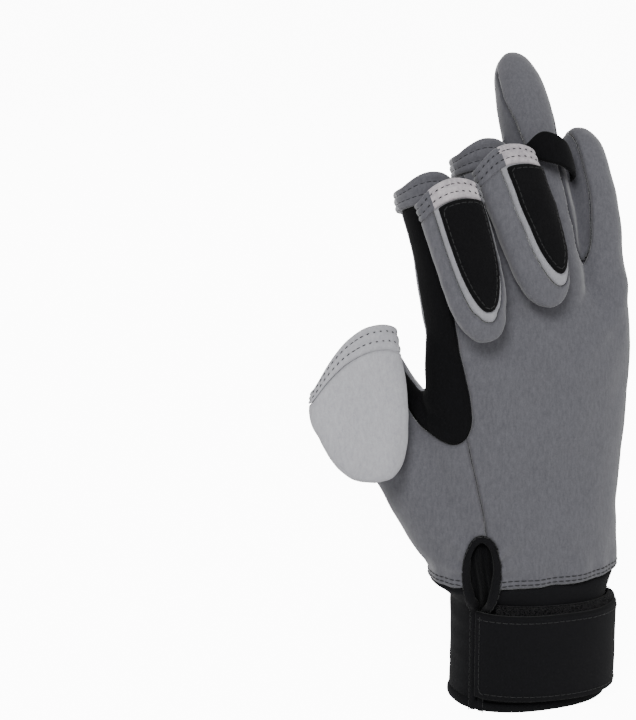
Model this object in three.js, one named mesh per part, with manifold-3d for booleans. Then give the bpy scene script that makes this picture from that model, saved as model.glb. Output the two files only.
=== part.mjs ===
// A fishing glove for the right hand, standing on its wrist opening with the fingers up.
// Millimetres. +Z runs to the fingertips, the back of the hand faces -Y, the thumb is on the -X side.
// The index finger, the middle finger and the thumb are open stubs with their caps folded back.
import * as THREE from 'three';
import { mergeVertices } from 'three/addons/utils/BufferGeometryUtils.js';
import Module from 'manifold-3d';

const wasm = await Module();
wasm.setup();

// Cloth
const clothWall = 2;
const cuffWall = 3.2;
const seamGap = 0.3;
const hemSwell = 0.4;
const hemWidth = 8;
const capWall = 1.8;
const patchThick = 1.2;

// Cuff
const cuffHeight = 52;
const cuffWidth = 64;
const cuffShift = 2;
const cuffDepth = 46;
const cuffNeck = 5;
const cuffInset = 0.8;
const bandHeight = 4.5;
const bandSwell = 0.5;

// Palm
const palmHeight = 116;
const palmWidth = 87;
const palmDepth = 40;

// Fingers, all bent along one curve that leaves the palm at the knuckles
const knuckleHeight = 150;
const curlHeight = 100;
const curlDepth = 40;
const curlPower = 1.7;
const mouthTilt = THREE.MathUtils.degToRad(20);
const tiltStart = 0.3;
const tiltEnd = 0.8;
const fourchetteReach = 5.6;
const fourchetteDepth = 17;

// Thumb
const thumbLength = 80;
const thumbWidth = 35;
const thumbDepth = 26;
const thumbRootSide = -24;
const thumbRootDepth = 4;
const thumbRootHeight = 72;
const thumbSpread = THREE.MathUtils.degToRad(33);
const thumbForward = THREE.MathUtils.degToRad(12);
const webFadeStart = 0.3 * thumbWidth;
const webFadeEnd = 0.55 * thumbWidth;

// Folded-back caps
const capWidth = 25;
const capThick = 11;
const capLength = 54;
const capClear = 0.35;
const capShift = 1.5;
const indexCapFoot = -0.325;
const middleCapFoot = -0.05;
const knuckleSwell = 1.1;
const thumbCapWidth = 41;
const thumbCapThick = 12;
const thumbCapLength = 46;
const thumbCapRise = 6;
const thumbCapSeat = 1.8;
const thumbCapSide = -6;
const thumbCapDrift = 1;
const thumbCapLean = 12;
const facePanelWidth = 19;
const facePanelThick = 0.8;
const hookWidth = 15;
const indexFaceShift = 2.5;
const middleFaceShift = 4.5;
const hookThick = 1;

// Slit, keyhole and strap at the wrist
const slitTurn = THREE.MathUtils.degToRad(-37);
const slitSide = -12.8;
const slitWidth = 1.6;
const keyholeWidth = 13;
const keyholeHeight = 30;
const keyholeCentre = 58;
const bindingWidth = 2.2;
const bindingSwell = 0.5;
const gussetThick = 1.5;
const gussetMargin = 3.5;
const pleatWidth = 3.4;
const pleatRise = 3;
const pleatSides = 10;
const loopStripThick = 1.2;
const loopStripWidth = 33;
const loopStripTop = 45.5;
const strapThick = 2.2;
const strapWidth = 35.5;
const strapTop = 42.5;
const strapDrop = 4;
const strapLift = 3;
const strapSettled = 0.07;
const strapLoosened = 0.85;
const strapOverlap = THREE.MathUtils.degToRad(2);
const strapEnd = THREE.MathUtils.degToRad(98);
const stripSetback = THREE.MathUtils.degToRad(15);
const stripEnd = THREE.MathUtils.degToRad(92);

// Pull band over the back of the ring finger
const pullWidth = 13;
const pullThick = 1.4;
const pullHeight = 213;
const pullStand = 5.5;
const pullSeat = 0.8;
const pullStart = THREE.MathUtils.degToRad(-46);
const pullEnd = THREE.MathUtils.degToRad(56);

// Number of sides of the round sections, and how square they are: 2 is an ellipse
const cuffSquareness = 2.3;
const fingerSquareness = 2.2;
const capSquareness = 2.5;
const palmSides = 24;
const fingerSides = 14;
const thumbSides = 16;
const cuffSides = 22;
const capSides = 12;
const far = 80;

// Reach is the height of the end over the knuckles, side and drift are shares of the palm's width.
const fingers = {
  index: { width: 22.5, depth: 23, side: -0.355, drift: -0.075, reach: 56 },
  middle: { width: 22.5, depth: 23.5, side: -0.118, drift: -0.04, reach: 67 },
  ring: { width: 22.5, depth: 22.5, side: 0.13, drift: -0.03, reach: 104 },
  little: { width: 20.5, depth: 21, side: 0.366, drift: -0.02, reach: 76 },
};

// Shares of the palm's height, width and depth
const palmRows = [
  { along: 0, width: 0.908, depth: 1.15, side: -0.012, forward: 0 },
  { along: 0.16, width: 0.908, depth: 1.08, side: -0.012, forward: 0 },
  { along: 0.37, width: 0.943, depth: 0.97, side: -0.012, forward: 0.02 },
  { along: 0.59, width: 0.985, depth: 0.9, side: -0.008, forward: 0 },
  { along: 0.8, width: 0.993, depth: 0.8, side: 0, forward: 0 },
  { along: 0.91, width: 0.966, depth: 0.67, side: 0, forward: 0.02 },
  { along: 0.98, width: 0.874, depth: 0.45, side: 0, forward: 0.05 },
  { along: 1, width: 0.78, depth: 0.2, side: 0, forward: 0.06 },
];

// Shares of a finger's reach, width and depth
const fingerRows = [
  { along: -0.12, width: 0.94, depth: 0.9 },
  { along: 0.06, width: 1, depth: 1.1 },
  { along: 0.22, width: 0.99, depth: 1.07 },
  { along: 0.42, width: 0.98, depth: 1 },
  { along: 0.62, width: 0.97, depth: 0.99 },
  { along: 0.78, width: 0.93, depth: 0.94 },
  { along: 0.88, width: 0.82, depth: 0.82 },
  { along: 0.95, width: 0.62, depth: 0.6 },
  { along: 0.99, width: 0.3, depth: 0.3 },
  { along: 1, width: 0.1, depth: 0.1 },
];

const stubRows = [
  { along: -0.22, width: 0.94, depth: 0.9 },
  { along: 0.12, width: 1, depth: 1.1 },
  { along: 0.4, width: 0.98, depth: 1.06 },
  { along: 0.7, width: 0.98, depth: 1.04 },
  { along: 1, width: 1, depth: 1.04 },
];

// Shares of the thumb's length, width and depth
const thumbRows = [
  { along: -0.12, width: 1.16, depth: 1.05 },
  { along: 0.04, width: 1.24, depth: 1.26 },
  { along: 0.25, width: 1.19, depth: 1.3 },
  { along: 0.5, width: 1.08, depth: 1.18 },
  { along: 0.75, width: 1, depth: 1.04 },
  { along: 1, width: 1, depth: 1 },
];

// Shares of a cap's length, width and thickness, from its mouth down to its rounded end
const capRows = [
  { along: 0, width: 1, depth: 1 },
  { along: 0.2, width: 0.99, depth: 0.98 },
  { along: 0.45, width: 0.97, depth: 0.95 },
  { along: 0.68, width: 0.9, depth: 0.9 },
  { along: 0.84, width: 0.75, depth: 0.78 },
  { along: 0.94, width: 0.52, depth: 0.6 },
  { along: 0.985, width: 0.28, depth: 0.4 },
  { along: 1, width: 0.1, depth: 0.2 },
];

// Basic solids

function rounded(value, squareness) {
  return Math.sign(value) * Math.abs(value) ** (2 / squareness);
}

function toSolid(positions, triangles) {
  const mesh = new wasm.Mesh({
    numProp: 3,
    vertProperties: Float32Array.from(positions),
    triVerts: Uint32Array.from(triangles),
  });
  return new wasm.Manifold(mesh);
}

// Rings run counter-clockwise about the way from the first to the last.
function solidFromRings(rings) {
  const sides = rings[0].length;
  const points = rings.flat();
  const triangles = [];
  for (let row = 0; row + 1 < rings.length; row += 1) {
    for (let i = 0; i < sides; i += 1) {
      const next = (i + 1) % sides;
      const [a, b] = [row * sides + i, row * sides + next];
      triangles.push(a, b, b + sides, a, b + sides, a + sides);
    }
  }
  const last = (rings.length - 1) * sides;
  const middleOf = (ring) => ring.reduce((sum, p) => sum.add(p), new THREE.Vector3()).divideScalar(sides);
  const centres = [middleOf(rings[0]), middleOf(rings[rings.length - 1])];
  for (let i = 0; i < sides; i += 1) {
    const next = (i + 1) % sides;
    triangles.push(points.length, next, i);
    triangles.push(points.length + 1, last + i, last + next);
  }
  return toSolid([...points, ...centres].flatMap((p) => p.toArray()), triangles);
}

function ring(section, sides, grow) {
  const { centre, across, travel, halfWidth, halfDepth, squareness } = section;
  const deep = travel.clone().cross(across).normalize();
  return Array.from({ length: sides }, (_, i) => {
    const angle = (2 * Math.PI * i) / sides;
    const x = rounded(Math.cos(angle), squareness) * (halfWidth + grow);
    const y = rounded(Math.sin(angle), squareness) * (halfDepth + grow);
    return centre.clone().addScaledVector(across, x).addScaledVector(deep, y);
  });
}

function corners({ centre, across, travel, halfWidth, halfDepth }) {
  const deep = travel.clone().cross(across).normalize();
  const signs = [[-1, -1], [1, -1], [1, 1], [-1, 1]];
  return signs.map(([x, y]) =>
    centre.clone().addScaledVector(across, x * halfWidth).addScaledVector(deep, y * halfDepth));
}

// Sections too small to hold the shrunken ring are left out, so the wall stays thick at a closed end.
function loft(sections, sides, grow = 0) {
  const smallest = 0.5;
  const kept = sections.filter((s) => Math.min(s.halfWidth, s.halfDepth) + grow > smallest);
  return solidFromRings(kept.map((s) => ring(s, sides, grow)));
}

function moved(section, distance) {
  return { ...section, centre: section.centre.clone().addScaledVector(section.travel, distance) };
}

// The same sections with one more at either end where they are to reach further.
function stretched(sections, before, after) {
  const start = before > 0 ? [moved(sections[0], -before)] : [];
  const end = after > 0 ? [moved(sections[sections.length - 1], after)] : [];
  return [...start, ...sections, ...end];
}

function fromGeometry(geometry) {
  geometry.deleteAttribute('normal');
  geometry.deleteAttribute('uv');
  const merged = mergeVertices(geometry);
  return toSolid(merged.attributes.position.array, merged.index.array);
}

// A prism through the depth of the hand: the outline lies in X and Z.
function prism(outline, front, back) {
  const geometry = new THREE.ExtrudeGeometry(new THREE.Shape(outline), {
    depth: back - front,
    bevelEnabled: false,
  });
  geometry.rotateX(Math.PI / 2);
  geometry.translate(0, back, 0);
  return fromGeometry(geometry);
}

function unite(solids) {
  return solids.reduce((all, one) => all.add(one));
}

// Hand

function curl(height) {
  const share = Math.max(0, height - knuckleHeight) / curlHeight;
  return curlDepth * share ** curlPower;
}

function fingerPoint(finger, height) {
  const share = (height - knuckleHeight) / finger.reach;
  const side = (finger.side + finger.drift * share) * palmWidth;
  return new THREE.Vector3(side, curl(height), height);
}

function fingerSection(finger, row, open) {
  const height = knuckleHeight + row.along * finger.reach;
  const step = 1;
  const ahead = fingerPoint(finger, height + step).sub(fingerPoint(finger, height - step)).normalize();
  const tilt = mouthTilt * THREE.MathUtils.smoothstep(row.along, tiltStart, tiltEnd);
  const travel = open ? new THREE.Vector3(0, Math.sin(tilt), Math.cos(tilt)) : ahead;
  const across = new THREE.Vector3(1, 0, 0).addScaledVector(travel, -travel.x).normalize();
  return {
    centre: fingerPoint(finger, height),
    across,
    travel,
    halfWidth: (row.width * finger.width) / 2,
    halfDepth: (row.depth * finger.depth * (open ? Math.cos(tilt) : 1)) / 2,
    squareness: fingerSquareness,
  };
}

function palmPoint({ side, along }) {
  return new THREE.Vector3(side * palmWidth, 0, cuffHeight + along * palmHeight);
}

// Points of an outline that are shares of the palm's width and height, for a prism.
function palmOutline(rows) {
  return rows.map((row) => new THREE.Vector2(palmPoint(row).x, palmPoint(row).z));
}

const palmSections = palmRows.map((row) => ({
  centre: palmPoint(row).setY(row.forward * palmDepth),
  across: new THREE.Vector3(1, 0, 0),
  travel: new THREE.Vector3(0, 0, 1),
  halfWidth: (row.width * palmWidth) / 2,
  halfDepth: (row.depth * palmDepth) / 2,
  squareness: cuffSquareness,
}));

const thumbTravel = new THREE.Vector3(
  -Math.sin(thumbSpread) * Math.cos(thumbForward),
  Math.sin(thumbForward),
  Math.cos(thumbSpread) * Math.cos(thumbForward),
);
const thumbAcross = new THREE.Vector3(Math.cos(thumbSpread), 0, Math.sin(thumbSpread));
const thumbRoot = new THREE.Vector3(thumbRootSide, thumbRootDepth, thumbRootHeight);

function thumbPoint(distance, across = 0) {
  return thumbRoot.clone().addScaledVector(thumbTravel, distance).addScaledVector(thumbAcross, across);
}

const thumbSections = thumbRows.map((row) => ({
  centre: thumbPoint(row.along * thumbLength),
  across: thumbAcross,
  travel: thumbTravel,
  halfWidth: (row.width * thumbWidth) / 2,
  halfDepth: (row.depth * thumbDepth) / 2,
  squareness: fingerSquareness,
}));

// An open stub is two stretches of one tube: the cloth, and the folded hem at its end.
function stub(sections, sides) {
  const mouth = sections[sections.length - 1];
  const hemSections = [moved(mouth, seamGap - hemWidth), mouth];
  const clothSections = [...sections.slice(0, -1), moved(mouth, -hemWidth)];
  const hemHole = loft(stretched(hemSections, hemWidth, hemWidth), sides, -clothWall - hemSwell);
  return {
    outer: (grow) => loft(clothSections, sides, grow),
    hole: loft(stretched(clothSections, 0, 2 * hemWidth), sides, -clothWall),
    hem: loft(hemSections, sides, hemSwell).subtract(hemHole),
  };
}

function closedFinger(finger) {
  const sections = fingerRows.map((row) => fingerSection(finger, row, false));
  return {
    outer: (grow) => loft(sections, fingerSides, grow),
    hole: loft(sections, fingerSides, -clothWall),
  };
}

function openFinger(finger) {
  return stub(stubRows.map((row) => fingerSection(finger, row, true)), fingerSides);
}

const tubes = {
  index: openFinger(fingers.index),
  middle: openFinger(fingers.middle),
  ring: closedFinger(fingers.ring),
  little: closedFinger(fingers.little),
  thumb: stub(thumbSections, thumbSides),
};

function handOuter(grow) {
  const palm = loft(stretched(palmSections, 0, grow), palmSides, grow);
  return unite([palm, ...Object.values(tubes).map((tube) => tube.outer(grow))]);
}

const palmHole = loft(stretched(palmSections.slice(0, -1), cuffHeight, 0), palmSides, -clothWall);
const handHole = unite([palmHole, ...Object.values(tubes).map((tube) => tube.hole)]);
const handShell = handOuter(0).subtract(handHole);

// Where the back of the hand meets the palm: the fingers' own curve, drawn forward at the thumb.
function meeting(side, height) {
  const towardThumb = Math.min(0, side);
  const reach = Math.max(0, thumbRootSide - side) * Math.tan(thumbForward) / Math.sin(thumbSpread);
  const rise = thumbRootDepth * Math.min(1, towardThumb / thumbRootSide) + reach;
  const across = (side - thumbRootSide) * thumbAcross.x + (height - thumbRootHeight) * thumbAcross.z;
  const fade = THREE.MathUtils.smoothstep(across, webFadeStart, webFadeEnd);
  return curl(height) + rise * (1 - fade);
}

// All that lies before the meeting surface, up to a depth behind it.
function inFront(behind) {
  const columns = 6;
  const rows = 10;
  const [left, right] = [-1.3 * palmWidth, 0.7 * palmWidth];
  const top = knuckleHeight + curlHeight + far / 2;
  const rings = Array.from({ length: rows + 1 }, (_, row) => {
    const height = cuffHeight / 2 + ((top - cuffHeight / 2) * row) / rows;
    const sides = Array.from({ length: columns + 1 }, (_, i) => left + ((right - left) * i) / columns);
    const surface = sides.map((x) => new THREE.Vector3(x, meeting(x, height) + behind, height));
    const front = [left, right].map((x) => new THREE.Vector3(x, -far, height));
    return [...front, ...surface.reverse()];
  });
  return solidFromRings(rings);
}

// The dark strips that join the sides of two neighbouring fingers.
function fourchetteSpace(first, second, start, end, grow) {
  const steps = 5;
  const sections = Array.from({ length: steps + 1 }, (_, i) => {
    const height = start - grow + ((end - start + 2 * grow) * i) / steps;
    const centre = fingerPoint(first, height).add(fingerPoint(second, height)).divideScalar(2);
    const step = 1;
    const travel = new THREE.Vector3(0, curl(height + step) - curl(height - step), 2 * step).normalize();
    return {
      centre,
      across: new THREE.Vector3(1, 0, 0),
      travel,
      halfWidth: fourchetteReach + grow,
      halfDepth: fourchetteDepth / 2 + grow,
    };
  });
  return solidFromRings(sections.map(corners));
}

const crotchHeight = cuffHeight + palmHeight;
const fourchetteStart = crotchHeight - hemWidth;
const tipMargin = 8;
const fourchettes = [
  ['fourchette_index_middle', fingers.index, fingers.middle, fingers.middle.reach],
  ['fourchette_middle_ring', fingers.middle, fingers.ring, fingers.ring.reach - tipMargin],
  ['fourchette_ring_little', fingers.ring, fingers.little, fingers.ring.reach - tipMargin],
].map(([name, first, second, reach]) => ({
  name,
  space: (grow) => fourchetteSpace(first, second, fourchetteStart, knuckleHeight + reach, grow),
}));

// The black side piece runs down the index finger, round the crotch and up the inside of the thumb.
// Points are shares of the palm's width and height.
const webOutline = [
  { side: -0.7, along: 1.5 },
  { side: -0.5, along: 1.5 },
  { side: -0.445, along: 0.98 },
  { side: -0.37, along: 0.72 },
  { side: -0.345, along: 0.6 },
  { side: -0.355, along: 0.53 },
  { side: -0.42, along: 0.49 },
  { side: -0.5, along: 0.52 },
  { side: -0.565, along: 0.6 },
  { side: -0.64, along: 0.78 },
  { side: -0.7, along: 0.93 },
];
const webPalmSide = 3;
const webMiddle = { side: -0.6, along: 1 };

function webSpace(grow) {
  const [centre] = palmOutline([webMiddle]);
  const outline = palmOutline(webOutline).map((point) => (
    point.clone().add(point.clone().sub(centre).setLength(grow))));
  return prism(outline, -far, far).intersect(inFront(webPalmSide + grow));
}

// The seam from the web down to the keyhole parts the thumb's back from the rest.
const thumbSideOutline = [
  { side: -0.27, along: -0.2 },
  { side: -0.27, along: 0.16 },
  { side: -0.37, along: 0.53 },
  { side: -0.58, along: 1.3 },
  { side: -1.3, along: 1.3 },
  { side: -1.3, along: -0.2 },
];

function thumbSide(shift) {
  return prism(palmOutline(thumbSideOutline), -far, far).translate([shift, 0, 0]);
}

// Wrist

const cuffRows = [
  { along: 0, width: 1, depth: 1 },
  { along: 0.3, width: 0.985, depth: 0.985 },
  { along: 0.88, width: 1, depth: 0.99 },
];
const cuffSections = [
  ...cuffRows.map((row) => ({
    ...palmSections[0],
    centre: new THREE.Vector3(cuffShift, 0, row.along * cuffHeight),
    halfWidth: (row.width * cuffWidth) / 2,
    halfDepth: (row.depth * cuffDepth) / 2,
  })),
  {
    ...palmSections[0],
    centre: new THREE.Vector3(palmSections[0].centre.x, palmSections[0].centre.y, cuffHeight - seamGap),
    halfWidth: palmSections[0].halfWidth - cuffInset,
    halfDepth: palmSections[0].halfDepth - cuffInset,
  },
];
const cuffEnd = cuffSections[cuffSections.length - 1];
const neckShrink = clothWall + 3 * seamGap - cuffInset;
const neckSections = [
  { ...cuffEnd, centre: cuffEnd.centre.clone().setZ(cuffHeight - 2 * clothWall) },
  { ...cuffEnd, centre: cuffEnd.centre.clone().setZ(cuffHeight + cuffNeck) },
];
const holeSections = [...cuffSections.slice(0, -1), ...neckSections];

// Turned so that its local front faces the slit.
function atSlit(solid) {
  return solid.rotate([0, 0, THREE.MathUtils.radToDeg(slitTurn)]);
}

function keyholeOutline(grow) {
  const points = 16;
  return Array.from({ length: points }, (_, i) => {
    const angle = (2 * Math.PI * i) / points;
    const x = slitSide + Math.cos(angle) * (keyholeWidth / 2 + grow);
    return new THREE.Vector2(x, keyholeCentre + Math.sin(angle) * (keyholeHeight / 2 + grow));
  });
}

function slitOutline(grow) {
  const half = slitWidth / 2 + grow;
  const sides = [[-half, -cuffHeight], [half, -cuffHeight], [half, keyholeCentre], [-half, keyholeCentre]];
  return sides.map(([x, z]) => new THREE.Vector2(slitSide + x, z));
}

const slitInner = -far;
const slitOuter = -6;

function slitSpace(grow) {
  const keyhole = prism(keyholeOutline(grow), slitInner, slitOuter);
  return atSlit(keyhole.add(prism(slitOutline(grow), slitInner, slitOuter)));
}

const bindingCut = slitSpace(bindingWidth + seamGap);
const cuffHole = loft(stretched(holeSections, cuffHeight, cuffHeight), cuffSides, -cuffWall);
const cuffBody = loft(cuffSections, cuffSides).add(loft(neckSections, cuffSides, -neckShrink));
const aboveBand = prism(
  [[-far, bandHeight + seamGap], [far, bandHeight + seamGap], [far, 2 * far], [-far, 2 * far]]
    .map(([x, z]) => new THREE.Vector2(x, z)),
  -far,
  far,
);
const cuff = cuffBody.subtract(cuffHole).intersect(aboveBand).subtract(bindingCut);

const bandSections = [
  { ...cuffSections[0] },
  { ...cuffSections[0], centre: new THREE.Vector3(cuffShift, 0, bandHeight) },
];
const bandHole = loft(stretched(bandSections, bandHeight, bandHeight), cuffSides, -cuffWall - bandSwell);
const cuffBand = loft(bandSections, cuffSides, bandSwell).subtract(bandHole).subtract(bindingCut);

const wristOuter = unite([
  loft(cuffSections, cuffSides, bindingSwell),
  loft(stretched(palmSections, cuffInset, 0), palmSides, bindingSwell),
]);
const bindingInner = -cuffWall - bindingSwell;
const bindingHole = loft(stretched(holeSections, cuffHeight, palmHeight / 2), cuffSides, bindingInner);
const keyholeBinding = wristOuter
  .subtract(bindingHole)
  .intersect(slitSpace(bindingWidth))
  .subtract(slitSpace(0));

// The folded cloth behind the keyhole, with one standing pleat.
function gussetSkin(inward) {
  return loft(stretched(holeSections, 0, palmHeight / 2), cuffSides, bindingInner - seamGap - inward);
}

const gussetSpace = prism(keyholeOutline(gussetMargin), slitInner, slitOuter);
const pleatDepth = cuffDepth / 2 + cuffInset;
// Shares of the keyhole's height, the pleat's width and its rise
const pleatRows = [
  { along: -0.4, width: 0.5, rise: 0.8 },
  { along: -0.2, width: 1, rise: 1 },
  { along: 0.15, width: 1, rise: 1 },
  { along: 0.36, width: 0.5, rise: 0.8 },
];
const pleatSections = pleatRows.map((row) => ({
  centre: new THREE.Vector3(slitSide, -pleatDepth - cuffInset, keyholeCentre + row.along * keyholeHeight),
  across: new THREE.Vector3(1, 0, 0),
  travel: new THREE.Vector3(0, 0, 1),
  halfWidth: (row.width * pleatWidth) / 2,
  halfDepth: row.rise * pleatRise,
  squareness: 2,
}));
const keyholeGusset = gussetSkin(0)
  .subtract(gussetSkin(gussetThick))
  .intersect(atSlit(gussetSpace))
  .add(atSlit(loft(pleatSections, pleatSides)));

// A band round the wrist between two turns, standing off the cuff by a distance that may change.
function wristBand(startTurn, endTurn, top, drop, width, thick, stand) {
  const steps = 14;
  const [a, b] = [cuffWidth / 2, cuffDepth / 2];
  const up = new THREE.Vector3(0, 0, 1);
  const rings = Array.from({ length: steps + 1 }, (_, i) => {
    const share = i / steps;
    const turn = startTurn + (endTurn - startTurn) * share;
    const [x, y] = [rounded(Math.sin(turn), cuffSquareness), -rounded(Math.cos(turn), cuffSquareness)];
    const slope = (value) => Math.sign(value) * Math.abs(value) ** (cuffSquareness - 1);
    const out = new THREE.Vector3(slope(x) / a, slope(y) / b, 0).normalize();
    const centre = new THREE.Vector3(cuffShift + x * a, y * b, top - width / 2 - drop * share);
    return corners({
      centre: centre.addScaledVector(out, stand(share) + thick / 2),
      across: out,
      travel: up.clone().cross(out),
      halfWidth: thick / 2,
      halfDepth: width / 2,
    });
  });
  return solidFromRings(rings);
}

const slitReach = (cuffWidth + cuffDepth) / 4;
const slitPoint = new THREE.Vector2(slitSide, slitReach).rotateAround(new THREE.Vector2(), -slitTurn);
const slitRatio = ((slitPoint.x - cuffShift) / cuffWidth) / (slitPoint.y / cuffDepth);
const slitAt = Math.sign(slitRatio) * Math.atan(Math.abs(slitRatio) ** (cuffSquareness / 2));
const strapStart = slitAt - strapOverlap;
const stripStart = slitAt + stripSetback;

function strapStand(share) {
  const over = THREE.MathUtils.smoothstep(share, 0, strapSettled);
  const lifted = THREE.MathUtils.smoothstep(share, strapLoosened, 1);
  const overBinding = bindingSwell + 3 * seamGap;
  const overStrip = 3 * seamGap + loopStripThick;
  return overBinding + (overStrip - overBinding) * over + strapLift * lifted;
}

const wristStrap = wristBand(strapStart, strapEnd, strapTop, strapDrop, strapWidth, strapThick, strapStand);
const loopStrip = wristBand(stripStart, stripEnd, loopStripTop, strapDrop, loopStripWidth, loopStripThick,
  () => seamGap);

// Panels of the hand

const fourchetteCuts = unite(fourchettes.map(({ space }) => space(seamGap)));
const webCut = webSpace(seamGap);
const backHalf = handShell
  .intersect(inFront(-seamGap / 2))
  .subtract(fourchetteCuts)
  .subtract(webCut)
  .subtract(bindingCut);
const backPanel = backHalf.subtract(thumbSide(seamGap));
const thumbBackPanel = backHalf.intersect(thumbSide(0));
const palmPanel = handShell
  .subtract(inFront(seamGap / 2))
  .subtract(fourchetteCuts)
  .subtract(webCut);
const webGusset = handShell.intersect(webSpace(0));

// Folded-back caps, each a pouch that hangs mouth up over the back of its stub

function dorsalDepth(finger, height) {
  const fingerFront = curl(height) - (knuckleSwell * finger.depth) / 2;
  const share = (height - cuffHeight) / palmHeight;
  if (share >= 1) return fingerFront;
  const above = Math.max(1, palmRows.findIndex(({ along }) => along >= share));
  const [low, high] = [palmRows[above - 1], palmRows[above]];
  const mix = (share - low.along) / (high.along - low.along);
  const palmFront = (-THREE.MathUtils.lerp(low.depth, high.depth, mix) * palmDepth) / 2;
  return Math.min(palmFront, fingerFront);
}

function hangingSections(rows, path, size) {
  return rows.map((row) => {
    const step = 0.02;
    const travel = path(row.along + step).sub(path(row.along - step)).normalize();
    const level = new THREE.Vector3(1, 0, 0);
    const across = size.across.clone().lerp(level, Math.min(1, row.along / size.levelled)).normalize();
    return {
      centre: path(row.along),
      across: across.negate(),
      travel,
      halfWidth: (row.width * size.width) / 2,
      halfDepth: (row.depth * size.thick) / 2,
      squareness: capSquareness,
      along: row.along,
    };
  });
}

function fingerCapSections(finger, bottomSide) {
  const mouth = fingerPoint(finger, knuckleHeight + finger.reach);
  const path = (share) => {
    const height = mouth.z - share * capLength;
    const side = THREE.MathUtils.lerp(mouth.x - capShift, bottomSide * palmWidth, share);
    return new THREE.Vector3(side, dorsalDepth(finger, height) - capThick / 2 - capClear, height);
  };
  const lean = path(1).sub(path(0)).normalize();
  const across = new THREE.Vector3(1, 0, 0).addScaledVector(lean, -lean.x);
  return hangingSections(capRows, path, { width: capWidth, thick: capThick, across, levelled: 4 });
}

function thumbCapSections() {
  const mouth = thumbPoint(thumbLength).add(new THREE.Vector3(thumbCapSide, 0, thumbCapRise));
  const front = thumbDepth / 2 + hemSwell + thumbCapThick / 2 + capClear - thumbCapSeat;
  const path = (share) => new THREE.Vector3(
    mouth.x - thumbCapDrift * share,
    mouth.y - front - thumbCapLean * share,
    mouth.z - share * thumbCapLength,
  );
  const size = { width: thumbCapWidth, thick: thumbCapThick, across: thumbAcross, levelled: 0.6 };
  return hangingSections(capRows, path, size);
}

function pouch(sections) {
  const hole = loft(stretched(sections, capThick, 0), capSides, -capWall);
  return loft(sections, capSides).subtract(hole);
}

// A piece sewn to the front of a cap, rounded toward the cap's closed end.
function capFront(sections, shift, lift, thick, width, start, end) {
  const skin = loft(sections, capSides, lift + thick).subtract(loft(sections, capSides, lift));
  const reach = capThick;
  const roundPower = 4;
  const leastRound = 0.01;
  const steps = 6;
  const region = Array.from({ length: steps + 1 }, (_, i) => {
    const share = i / steps;
    const along = start + (end - start) * Math.sin((share * Math.PI) / 2);
    const next = Math.max(1, sections.findIndex((s) => s.along >= along));
    const [low, high] = [sections[next - 1], sections[next]];
    const centre = low.centre.clone().lerp(high.centre, (along - low.along) / (high.along - low.along));
    const deep = low.travel.clone().cross(low.across);
    const round = Math.sqrt(Math.max(leastRound, 1 - share ** roundPower));
    return corners({
      centre: centre.addScaledVector(deep, -reach).addScaledVector(low.across, -shift),
      across: low.across,
      travel: low.travel,
      halfWidth: (width / 2) * round,
      halfDepth: reach,
    });
  });
  return skin.intersect(solidFromRings(region));
}

const indexCapSections = fingerCapSections(fingers.index, indexCapFoot);
const middleCapSections = fingerCapSections(fingers.middle, middleCapFoot);

// The pull band arches over the back of the ring finger.
function pullBand() {
  const steps = 12;
  const centre = fingerPoint(fingers.ring, pullHeight);
  const step = 1;
  const travel = fingerPoint(fingers.ring, pullHeight + step).sub(centre).normalize();
  const across = new THREE.Vector3(1, 0, 0).addScaledVector(travel, -travel.x).normalize();
  const deep = travel.clone().cross(across);
  const rings = Array.from({ length: steps + 1 }, (_, i) => {
    const share = i / steps;
    const turn = pullStart + (pullEnd - pullStart) * share;
    const off = pullSeat + pullThick / 2 + pullStand * Math.sin(share * Math.PI);
    const sideways = Math.sin(turn);
    const forward = -Math.cos(turn);
    const out = across.clone().multiplyScalar(sideways).addScaledVector(deep, forward).normalize();
    return corners({
      centre: centre.clone()
        .addScaledVector(across, sideways * (fingers.ring.width / 2 + off))
        .addScaledVector(deep, forward * (fingers.ring.depth / 2 + off)),
      across: travel,
      travel: out.clone().cross(travel).negate(),
      halfWidth: pullWidth / 2,
      halfDepth: pullThick / 2,
    });
  });
  return solidFromRings(rings);
}

// Grip patches on the palm side. Points are shares of the palm's width and height.
const palmGripOutline = [
  { side: -0.5, along: 1.2 },
  { side: -0.43, along: 0.98 },
  { side: -0.4, along: 0.77 },
  { side: -0.31, along: 0.72 },
  { side: -0.085, along: 0.655 },
  { side: 0.02, along: 0.53 },
  { side: -0.015, along: 0.39 },
  { side: -0.11, along: 0.21 },
  { side: -0.1, along: 0.155 },
  { side: 0.22, along: 0.055 },
  { side: 0.28, along: 0.1 },
  { side: 0.35, along: 0.29 },
  { side: 0.4, along: 0.6 },
  { side: 0.415, along: 0.75 },
  { side: 0.38, along: 0.81 },
  { side: 0.03, along: 0.99 },
  { side: -0.04, along: 1.07 },
  { side: -0.07, along: 1.29 },
  { side: -0.235, along: 1.29 },
  { side: -0.245, along: 1.06 },
  { side: -0.275, along: 1.06 },
  { side: -0.335, along: 1.2 },
];
const thumbGripCentre = { side: -0.345, along: 0.39 };
const thumbGripWidth = 32;
const thumbGripHeight = 50;
const thumbGripTaper = 0.14;

const gripSkin = handOuter(seamGap + patchThick).subtract(handOuter(seamGap)).subtract(inFront(0));
const palmGrip = gripSkin.intersect(prism(palmOutline(palmGripOutline), -far, far));
const thumbGripOutline = Array.from({ length: thumbSides }, (_, i) => {
  const angle = (2 * Math.PI * i) / thumbSides;
  const narrow = 1 - thumbGripTaper * Math.sin(angle);
  return new THREE.Vector2(
    palmPoint(thumbGripCentre).x + (Math.cos(angle) * narrow * thumbGripWidth) / 2,
    palmPoint(thumbGripCentre).z + (Math.sin(angle) * thumbGripHeight) / 2,
  );
});
const thumbGrip = gripSkin.intersect(prism(thumbGripOutline, -far, far));

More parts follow.
